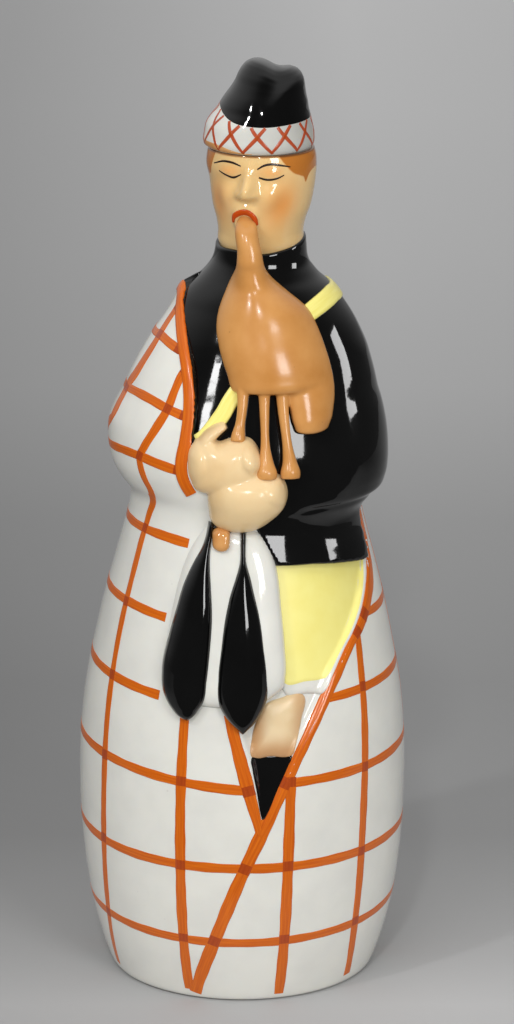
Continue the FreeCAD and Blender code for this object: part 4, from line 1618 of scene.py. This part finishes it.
@dataclass
class Head(Shell):
    """Painted head with closed eyes, lips round the blowpipe, and the mouth of the decanter on top."""

    palette: Palette
    face_turn: float = -16.0
    lean: float = 0.145
    lean_from: float = 230.5
    face_radius: float = 16.0
    rim: float = 240.5
    bore: float = 9.0
    rim_roll: Pairs = ((0.996, 240.15), (0.985, 240.36), (0.965, 240.47), (0.94, 240.5))
    bore_steps: Pairs = ((0.9, 240.5), (0.35, 240.3), (0.0, 239.8), (0.0, 230.0), (0.0, 222.0),
                         (0.6, 220.5), (0.0, 214.0))
    ovals: Pairs = ((206, 5.4, 9.5, 10.2), (212, 5.4, 11.2, 11.8), (214, 5.4, 12.0, 12.9),
                    (217, 5.4, 12.0, 13.9), (220, 5.5, 12.5, 14.6), (224, 5.7, 13.7, 15.2),
                    (228, 5.85, 14.4, 15.6), (232, 5.9, 14.9, 15.8), (236, 5.6, 15.4, 15.9),
                    (238.5, 5.6, 15.2, 15.7), (240.5, 5.5, 14.7, 15.3))
    right_hair: Pairs = ((17, 241.4), (20.3, 239.8), (27.9, 237.1), (33.6, 235.6), (44.9, 234.2),
                         (49.5, 233.6), (52.5, 232.2), (57.8, 233.9), (70, 235.3), (84, 235.0),
                         (100, 233.5), (125, 229.0), (150, 224.0), (180, 221.5))
    left_hair: Pairs = ((-180, 221.5), (-150, 224.0), (-125, 228.5), (-105, 231.0), (-90, 232.6),
                        (-76, 233.4), (-66, 234.9), (-60, 239.0), (-57, 241.4))
    brows: tuple[Pairs, ...] = (
        ((-12.9, 237.2, 0.3), (-8.6, 238.4, 0.62), (-5.4, 238.3, 0.62), (-2.7, 237.6, 0.35)),
        ((2.3, 236.9, 0.4), (3.9, 237.9, 0.6), (6.2, 238.3, 0.66), (8.9, 237.9, 0.55), (12.2, 237.2, 0.3)))
    lashes: tuple[Pairs, ...] = (
        ((-10.1, 235.5, 0.3), (-7.2, 234.7, 0.55), (-5.0, 234.2, 0.66), (-2.3, 235.3, 0.3)),
        ((3.0, 234.6, 0.5), (4.8, 234.1, 0.62), (8.2, 234.3, 0.55), (10.4, 235.1, 0.3)))
    lips: Pairs = ((-3.75, 221.6, 0.8), (-3.3, 223.3, 1.5), (-1.6, 224.45, 1.95), (0.1, 224.75, 2.1),
                   (2.0, 224.2, 1.9), (3.5, 222.9, 1.4), (4.3, 221.3, 0.7))

    def __post_init__(self) -> None:
        """Sets the ovals from the seen outline."""
        super().__init__(self.ovals)

    def local(self, turn: Array, height: Array) -> tuple[Array, Array]:
        """Distance round the face from its leaning middle line, and height, in millimetres.

        Args:
            turn, height: places on the head.

        Returns:
            Both distances.
        """
        height = np.asarray(height, float)
        turned = signed_turn(np.asarray(turn, float) - self.face_turn)
        across = np.radians(turned) * self.face_radius - self.lean * (height - self.lean_from)
        return np.broadcast_arrays(across, height)

    def relief(self, turn: Array, height: Array) -> Array:
        """Nose, lids, cheeks, lips and chin.

        Args:
            turn, height: places on the head.

        Returns:
            Distances outwards in millimetres.
        """
        across, height = self.local(turn, height)
        side = np.abs(across)
        slope = ease(238.0, 231.0, height)
        under = ease(227.2, 229.4, height)
        ridge = (0.5 + 2.0 * slope) * hump(across, 1.35 + 0.6 * slope) * ease(239.2, 236.2, height) * under
        tip = 1.7 * hump(np.hypot(across, (height - 230.6) * 0.85), 2.3) * under
        wings = 0.85 * hump(np.hypot(side - 2.3, (height - 229.6) * 1.1), 1.3)
        socket = -0.75 * hump(np.hypot((side - 5.4) / 1.5, height - 234.4), 2.6)
        lid = 0.75 * hump(np.hypot((side - 6.4) / 1.6, (height - 235.2)), 1.9)
        cheek = 1.25 * hump(np.hypot(side - 6.6, (height - 228.9) * 0.9), 3.5)
        lips = 0.9 * hump(np.hypot(across, (height - 222.6)) - 3.2, 1.3)
        chin = 0.9 * hump(np.hypot(across / 1.2, height - 216.6), 3.0)
        return ridge + tip + wings + socket + lid + cheek + lips + chin

    def paint(self, turn: Array, height: Array) -> Array:
        """Painted colours, with a painted shadow line at the rim under the hat.

        Args:
            turn, height: places on the head.

        Returns:
            Red, green, blue and cover for each place.
        """
        across, height = self.local(turn, height)
        side = np.abs(across)
        # Rouge on both cheeks, weaker on the left: the weaker rouge is painted light that keeps the less
        # lit left side pale.
        rouge_with_painted_light = np.where(across > 0, 0.72, 0.62) * hump(np.hypot(side - 11.2, (height - 226.4) / 1.2), 5.4)
        lids = 0.45 * hump(np.hypot((side - 6.4) / 2.2, height - 236.0), 1.7)
        colour = np.zeros(across.shape + (4,))
        colour[..., :3] = linear(234, 148, 66)[:3]
        colour[..., 3] = np.maximum(rouge_with_painted_light, lids)
        turned = signed_turn(turn) + 0 * height
        right = through(self.right_hair, np.maximum(turned, self.right_hair[0][0]))[..., 0]
        left = through(self.left_hair, np.minimum(turned, self.left_hair[-1][0]))[..., 0]
        hair = ease(-0.12, 0.12, height - np.where(turned > 0, right, left))
        # Painted shadow: a dark brown line at the top of the head, where the hat's rim shades the gap
        # between them.
        rim_gap_shadow = 0.85 * ease(239.75, 240.05, height)
        for cover, tone in ((hair, linear(188, 116, 44)), (rim_gap_shadow, linear(96, 56, 28))):
            colour[..., :3] += (np.array(tone[:3]) - colour[..., :3]) * cover[..., None]
            colour[..., 3] = np.maximum(colour[..., 3], cover)
        return colour

    def build(self) -> Piece:
        """Builds the head with its rim and bore.

        Returns:
            The head piece.
        """
        turn = np.concatenate([np.arange(-110, 112, 0.9), np.arange(112, 250, 2.5)])
        count = len(turn)
        heights = np.concatenate([np.arange(206, 213, 1.0), np.arange(213, 239.9, 0.26)])
        rings = [self.point(turn, z) for z in heights]
        paints = [self.paint(turn, z) for z in heights]
        axis = on_axis(0)
        edge = rings[-1]
        for share, z in self.rim_roll:
            rings.append(axis + (edge - axis) * np.array([share, share, 0]) + np.array([0, 0, z]))
        rings += [level_ring(turn, self.bore + wider, z, MOUTH_X) for wider, z in self.bore_steps]
        bare = np.zeros((count, 4))
        bare[:] = linear(233, 231, 225)
        # The rim takes the colours found at its height, the painted shadow line among them.
        brim = self.paint(turn, self.rim)
        paints += [brim] * 3
        paints += [bare] * (len(rings) - len(paints))
        points, faces = stacked(rings, on_axis(206.0), on_axis(212.0))
        piece = make_object("head_form", points, faces, [self.palette.face])
        paint_on(piece, np.vstack(paints + [bare[:1], bare[:1]]))
        return piece

    def line(self, points: Pairs) -> Stroke:
        """Path of a painted line.

        Args:
            points: distance round the face, height and breadth along it.

        Returns:
            One stroke.
        """
        table = drawn(points, 0.3)
        across = table[:, 0] + self.lean * (table[:, 1] - self.lean_from)
        turn = self.face_turn + np.degrees(across / self.face_radius)
        return self.point(turn, table[:, 1]), table[:, 2]

    def dress(self, head: Piece, strokes: Strokes) -> None:
        """Finishes the head and paints its features.

        Args:
            head: the built piece.
            strokes: stroke maker.
        """
        lines = [self.line(curve) for curve in (*self.brows, *self.lashes)]
        ink = strokes.lay("brows_and_lashes", lines, head, self.palette.ink, 0.08, 0.2, 0.4, 0.25)
        mouth = strokes.lay("lips", [self.line(self.lips)], head, self.palette.lip, 0.45, 0.4, 0.5, 0.3)
        dress(head, Body.DECANTER, Slot.FLESH, "head")
        dress(ink, Body.DECANTER, Slot.BLACK)
        dress(mouth, Body.DECANTER, Slot.FLESH)


@dataclass
class Stopper(Shell):
    """Hat that is the stopper: band with its lattice, pinched crown, and the plug and cork under it."""

    palette: Palette
    base: float = 240.8
    peak: float = 264.8
    crosses: int = 12
    lean: float = 23.0
    first_foot: float = -17.0
    valley_at: float = 10.2
    valley_depth: float = 1.7
    under_rings: Pairs = ((10.5, 241.2), (12.6, 240.95), (13.9, 240.82))
    ovals: Pairs = ((240.8, 5.1, 14.7, 15.6), (241.5, 4.95, 15.35, 16.2), (242.4, 4.9, 15.55, 16.4),
                    (244.7, 4.9, 15.3, 16.2), (247.5, 5.0, 14.6, 15.75), (249.6, 5.5, 13.7, 15.1),
                    (251.2, 6.0, 12.8, 14.6), (253.2, 6.4, 12.1, 13.97), (255, 6.8, 11.3, 13.36),
                    (257, 7.4, 10.4, 12.6), (258.8, 7.9, 9.7, 11.8), (261.0, 8.2, 8.9, 10.5),
                    (262.6, 8.35, 7.9, 9.1), (263.7, 8.4, 6.6, 7.4), (264.4, 8.4, 4.6, 5.1),
                    (264.8, 8.4, 1.4, 1.5))
    band_line: Pairs = ((-180, 250.6), (-120, 252.4), (-85, 252.6), (-55, 250.8), (-30, 249.2), (0, 248.5),
                        (35, 248.8), (90, 249.2), (140, 249.6), (180, 250.6))

    def __post_init__(self) -> None:
        """Sets the ovals from the seen outline."""
        super().__init__(self.ovals)

    def band_top(self, turn: Array) -> Array:
        """Height of the line between band and crown."""
        return through(self.band_line, signed_turn(turn))[..., 0]

    def pinched(self, points: Array) -> Array:
        """Presses the valley into the crown.

        Args:
            points: places on the hat.

        Returns:
            Places with the valley, and with the left peak higher than the right.
        """
        x, y, z = points[:, 0], points[:, 1], points[:, 2]
        valley = self.valley_at + 0.35 * np.minimum(z - 262.0, 0) * ease(4, -6, y)
        press = hump(x - valley, 3.5) * ease(251, 263, z)
        share = ease(256, 263.5, z) * np.clip((8.4 - x) / 6.0, -1, 1)
        lift = np.where(share > 0, 0.6, 1.0) * share
        inwards = 1.3 * press * (ease(-2, -9, y) - ease(2, 9, y))
        return points + np.column_stack([0 * x, inwards, lift - self.valley_depth * press])

    def build(self) -> Piece:
        """Builds the hat.

        Returns:
            The hat piece.
        """
        turn = np.arange(-180, 180, 1.5)
        count = len(turn)
        rings = [level_ring(turn, radius, z, MOUTH_X) for radius, z in self.under_rings]
        shares = np.concatenate([[0, 0.03, 0.08], np.linspace(0.14, 1, 26)])
        top = self.band_top(turn)
        rings += [self.point(turn, self.base + (top - self.base) * s) for s in shares]
        band_rows = len(rings) - 1
        rings += [self.point(turn, top + (self.peak - top) * s) for s in np.linspace(0, 1, 70)[1:]]
        rings = [self.pinched(ring) for ring in rings]
        points, faces = stacked(rings, on_axis(241.3), rings[-1].mean(axis=0))
        hat = make_object("hat_form", points, faces, [self.palette.white, self.palette.black])
        number = np.arange(len(faces))
        grid = (len(rings) - 1) * count
        dark = ((number >= band_rows * count) & (number < grid)) | (number >= grid + count)
        hat.data.polygons.foreach_set("material_index", dark.astype(np.int32))
        return hat

    def lattice(self) -> list[Stroke]:
        """Crossed strokes round the band.

        Returns:
            Strokes.
        """
        paths = []
        pitch = 360 / self.crosses
        foot_height, radius = 241.5, 15.5
        for number in range(self.crosses):
            foot = self.first_foot + number * pitch
            for way in (-1, 1):
                tip = foot + way * self.lean
                top = float(self.band_top(np.array(tip))) - 0.15
                half = foot + way * self.lean * 0.52
                points = ((foot, foot_height, 0.8), (half, (foot_height + top) / 2, 1.1), (tip, top, 0.95))
                table = drawn([(math.radians(t) * radius, z, b) for t, z, b in points], 0.5)
                paths.append((self.point(np.degrees(table[:, 0] / radius), table[:, 1]), table[:, 2]))
        return paths

    def rim_hair(self) -> Stroke:
        """Brown crescent under the left of the band, where hair shows below the hat.

        Returns:
            One stroke.
        """
        turn = np.linspace(-150, -8, 40)
        height = 242.0 - 0.9 * ease(-60, -12, turn)
        return self.point(turn, height), 0.3 + 2.0 * ease(-10, -50, turn)

    def dress(self, hat: Piece, strokes: Strokes) -> None:
        """Finishes the hat, paints its band, and finishes the plug and the cork.

        Args:
            hat: the built piece.
            strokes: stroke maker.
        """
        paths = self.lattice()
        doubled = crossings(paths, 0.4)
        lattice = strokes.lay("hat_lattice", paths, hat, self.palette.russet, 0.07, 0.3, 0.4, 0.5)
        doubles = strokes.lay("hat_crossings", doubled, hat, self.palette.crossing, 0.1, 0.3, 0.4, 0.25)
        rim = strokes.lay("hat_rim_hair", [self.rim_hair()], hat, self.palette.brown, 0.06, 0.3, 0.4, 0.5)
        dress(hat, Body.STOPPER, Slot.WHITE, "hat")
        dress(lattice, Body.STOPPER, Slot.WHITE)
        dress(doubles, Body.STOPPER, Slot.WHITE)
        dress(rim, Body.STOPPER, Slot.BROWN)
        for node, finish in (("stopper_plug", self.palette.bare), ("cork_sleeve", self.palette.cork)):
            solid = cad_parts[node]
            solid.data.materials.clear()
            solid.data.materials.append(finish)


@dataclass
class Studio:
    """Camera, floor and soft lights."""

    eye: Place = (0.00434, -1.270, 0.505)
    pitch: float = 73.72
    lens: float = 163.35
    aim: Place = (0.0, 0.0, 0.18)
    reach: float = 1.3
    surround: float = 0.86
    mirrored_surround: float = 0.15
    mirrored_above: float = 1.25
    above: Place = (-0.15, 0.5, 0.85)
    above_span: tuple[float, float] = (0.15, 0.75)
    lamps: tuple[tuple[str, float, float, float, float, float], ...] = (
        ("lamp_left", -42.0, 35.0, 0.07, 0.07, 2.6),
        ("lamp_front", -5.0, 35.0, 0.07, 0.07, 2.6),
        ("window_left", -36.0, 20.0, 0.14, 0.2, 2.0),
        ("window_right", 29.0, 16.0, 0.4, 0.34, 5.2),
        ("strip_right", 88.0, 15.0, 0.28, 0.42, 3.6))
    unmirrored: tuple[tuple[str, Place, tuple[float, float], float], ...] = (
        ("overhead", (-0.1, -0.35, 1.5), (1.4, 1.2), 4.8),
        ("fill", (-0.75, -1.55, 0.6), (1.2, 0.7), 6.0))
    flagged: tuple[str, ...] = ("window_left", "strip_right")
    shaded: tuple[str, ...] = ("window_right",)
    floor_level: float = -0.0001
    paper: Place = (1.3, -0.1, 2.8)
    apron: Place = (5.0, -5.0, 6.0)
    # Greys of the paper along and across it, with painted shade: darker under and behind the figure, paler
    # far back, and darker towards both sides, most on the left.
    greys_and_shade_away: Pairs = ((-0.1, 178), (-0.04, 190), (0.0, 178), (0.1, 154), (0.25, 152),
                         (0.45, 168), (0.65, 194), (0.9, 212), (1.25, 230), (1.6, 242))
    greys_and_shade_aside: Pairs = ((-0.5, 170), (-0.14, 216), (0.06, 255), (0.4, 230), (1.3, 200))

    def build(self) -> None:
        """Places camera, floor, surround and lights."""
        eye = bpy.data.cameras.new("camera")
        eye.sensor_width = 36.0
        eye.lens = self.lens
        eye.clip_end = 20.0
        camera = bpy.data.objects.new("camera", eye)
        camera.location = self.eye
        camera.rotation_euler = (math.radians(self.pitch), 0, 0)
        bpy.context.scene.collection.objects.link(camera)
        bpy.context.scene.camera = camera
        bpy.context.scene.view_settings.view_transform = "Standard"
        self.floor()
        self.world()
        for name, side, height, wide, tall, power in self.lamps:
            turn, up = math.radians(side), math.radians(height)
            out = math.cos(up) * self.reach
            place = (self.aim[0] + out * math.sin(turn), self.aim[1] - out * math.cos(turn),
                     self.aim[2] + math.sin(up) * self.reach)
            self.panel(name, place, (wide, tall), power)
        for name, place, size, power in self.unmirrored:
            self.panel(name, place, size, power).visible_glossy = False

    def flag(self, jacket: Piece, hat: Piece) -> None:
        """Keeps some lights on the jacket alone and others off the hat, as flags on stands do.

        Args:
            jacket: piece that the flagged lights reach.
            hat: piece that the shaded lights do not reach.
        """
        lit = bpy.data.collections.new("light_on_jacket")
        lit.objects.link(jacket)
        spared = bpy.data.collections.new("light_off_hat")
        spared.objects.link(hat)
        spared.collection_objects[0].light_linking.link_state = "EXCLUDE"
        for names, receivers in ((self.flagged, lit), (self.shaded, spared)):
            for name in names:
                bpy.data.objects[name].light_linking.receiver_collection = receivers

    def floor(self) -> None:
        """Flat grey paper under the figure, framed by a wider sheet that the glazes do not mirror; its grey
        holds painted shade, darker under and behind the figure and towards both sides, most on the left.
        """
        corners = np.array([(wide * side, far if back else near, self.floor_level)
                            for wide, near, far in (self.paper, self.apron)
                            for side, back in ((-1, False), (1, False), (1, True), (-1, True))]) / MM
        sides = [(4 + n, 4 + (n + 1) % 4, (n + 1) % 4, n) for n in range(4)]
        own = {"Roughness": 0.8, "Specular IOR Level": 0.1}
        material, wiring, shader = started("studio_paper", own)
        place = wiring.add("ShaderNodeTexCoord").outputs["Object"]
        split = wiring.add("ShaderNodeSeparateXYZ", {"Vector": place}).outputs
        # Painted shade: the paper's grey falls and rises along and across the floor.
        away = self.graded(wiring, split["Y"], self.greys_and_shade_away)
        aside = self.graded(wiring, split["X"], self.greys_and_shade_aside)
        mixed = wiring.add("ShaderNodeVectorMath", {0: away, 1: aside}, operation="MULTIPLY")
        wiring.feed(shader["Base Color"], mixed.outputs["Vector"])
        wiring.feed(shader["Normal"], wiring.bump(wiring.noise(place, 300.0), 0.05, 0.001))
        sheets = (("floor", corners[:4], [(0, 1, 2, 3)]), ("floor_around", corners, sides))
        for name, points, faces in sheets:
            sheet = make_object(name, points, faces, [material])
            sheet.visible_glossy = name == "floor"

    def graded(self, wiring: Wiring, place: Socket, tones: Pairs) -> Socket:
        """Grey that changes with a coordinate.

        Args:
            wiring: the material's tree.
            place: coordinate in metres.
            tones: places in metres, each with its grey from 0 to 255.

        Returns:
            The grey.
        """
        start, end = tones[0][0], tones[-1][0]
        stops = [((at - start) / (end - start), (tone, tone, tone)) for at, tone in tones]
        return wiring.ramp(wiring.spread(place, (start, end)), stops)

    def world(self) -> None:
        """Even grey surround; a glaze mirrors it dimmer, and paler above and behind the figure."""
        world = bpy.data.worlds.new("studio")
        world.use_nodes = True
        world.cycles.sampling_method = "NONE"
        wiring = Wiring(world.node_tree)
        back = world.node_tree.nodes["Background"].inputs
        way = wiring.add("ShaderNodeTexCoord").outputs["Generated"]
        facing = wiring.add("ShaderNodeVectorMath", {0: way, 1: self.above}, operation="DOT_PRODUCT")
        levels = (self.mirrored_surround, self.mirrored_above)
        mirrored = wiring.spread(facing.outputs["Value"], self.above_span, levels,
                                 interpolation_type="SMOOTHSTEP")
        glossy = wiring.add("ShaderNodeLightPath").outputs["Is Glossy Ray"]
        wiring.feed(back["Color"], (0.5, 0.5, 0.5, 1))
        wiring.feed(back["Strength"], wiring.spread(glossy, target=(self.surround, mirrored)))
        bpy.context.scene.world = world

    def panel(self, name: str, place: Place, size: tuple[float, float], power: float) -> Piece:
        """One soft panel light that points at the figure.

        Args:
            name: light name.
            place: where it stands, in metres.
            size: width and height in metres.
            power: power in watts.

        Returns:
            The light.
        """
        lamp = bpy.data.lights.new(name, "AREA")
        lamp.shape = "RECTANGLE"
        lamp.size, lamp.size_y = size
        lamp.energy = power
        light = bpy.data.objects.new(name, lamp)
        light.location = place
        light.rotation_euler = (Vector(self.aim) - Vector(place)).to_track_quat("-Z", "Y").to_euler()
        bpy.context.scene.collection.objects.link(light)
        return light


def main() -> None:
    """Builds and dresses every piece, then the studio."""
    logging.basicConfig(level=logging.INFO, format="%(message)s")
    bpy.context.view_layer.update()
    studio = Studio()
    studio.build()
    palette = Palette()
    strokes = Strokes()
    jacket = Jacket(palette, Shell(PLAID_OVALS))
    plaid = Plaid(palette, jacket)
    for part in (plaid, jacket, Head(palette), Stopper(palette)):
        part.dress(part.build(), strokes)
    studio.flag(bpy.data.objects["jacket"], bpy.data.objects["hat_form"])
    for part in (LegOpening(palette, plaid), Pipes(palette, jacket), Hands(palette, jacket),
                 Purse(palette, plaid)):
        part.dress(part.build())


if __name__ == "__main__":
    main()
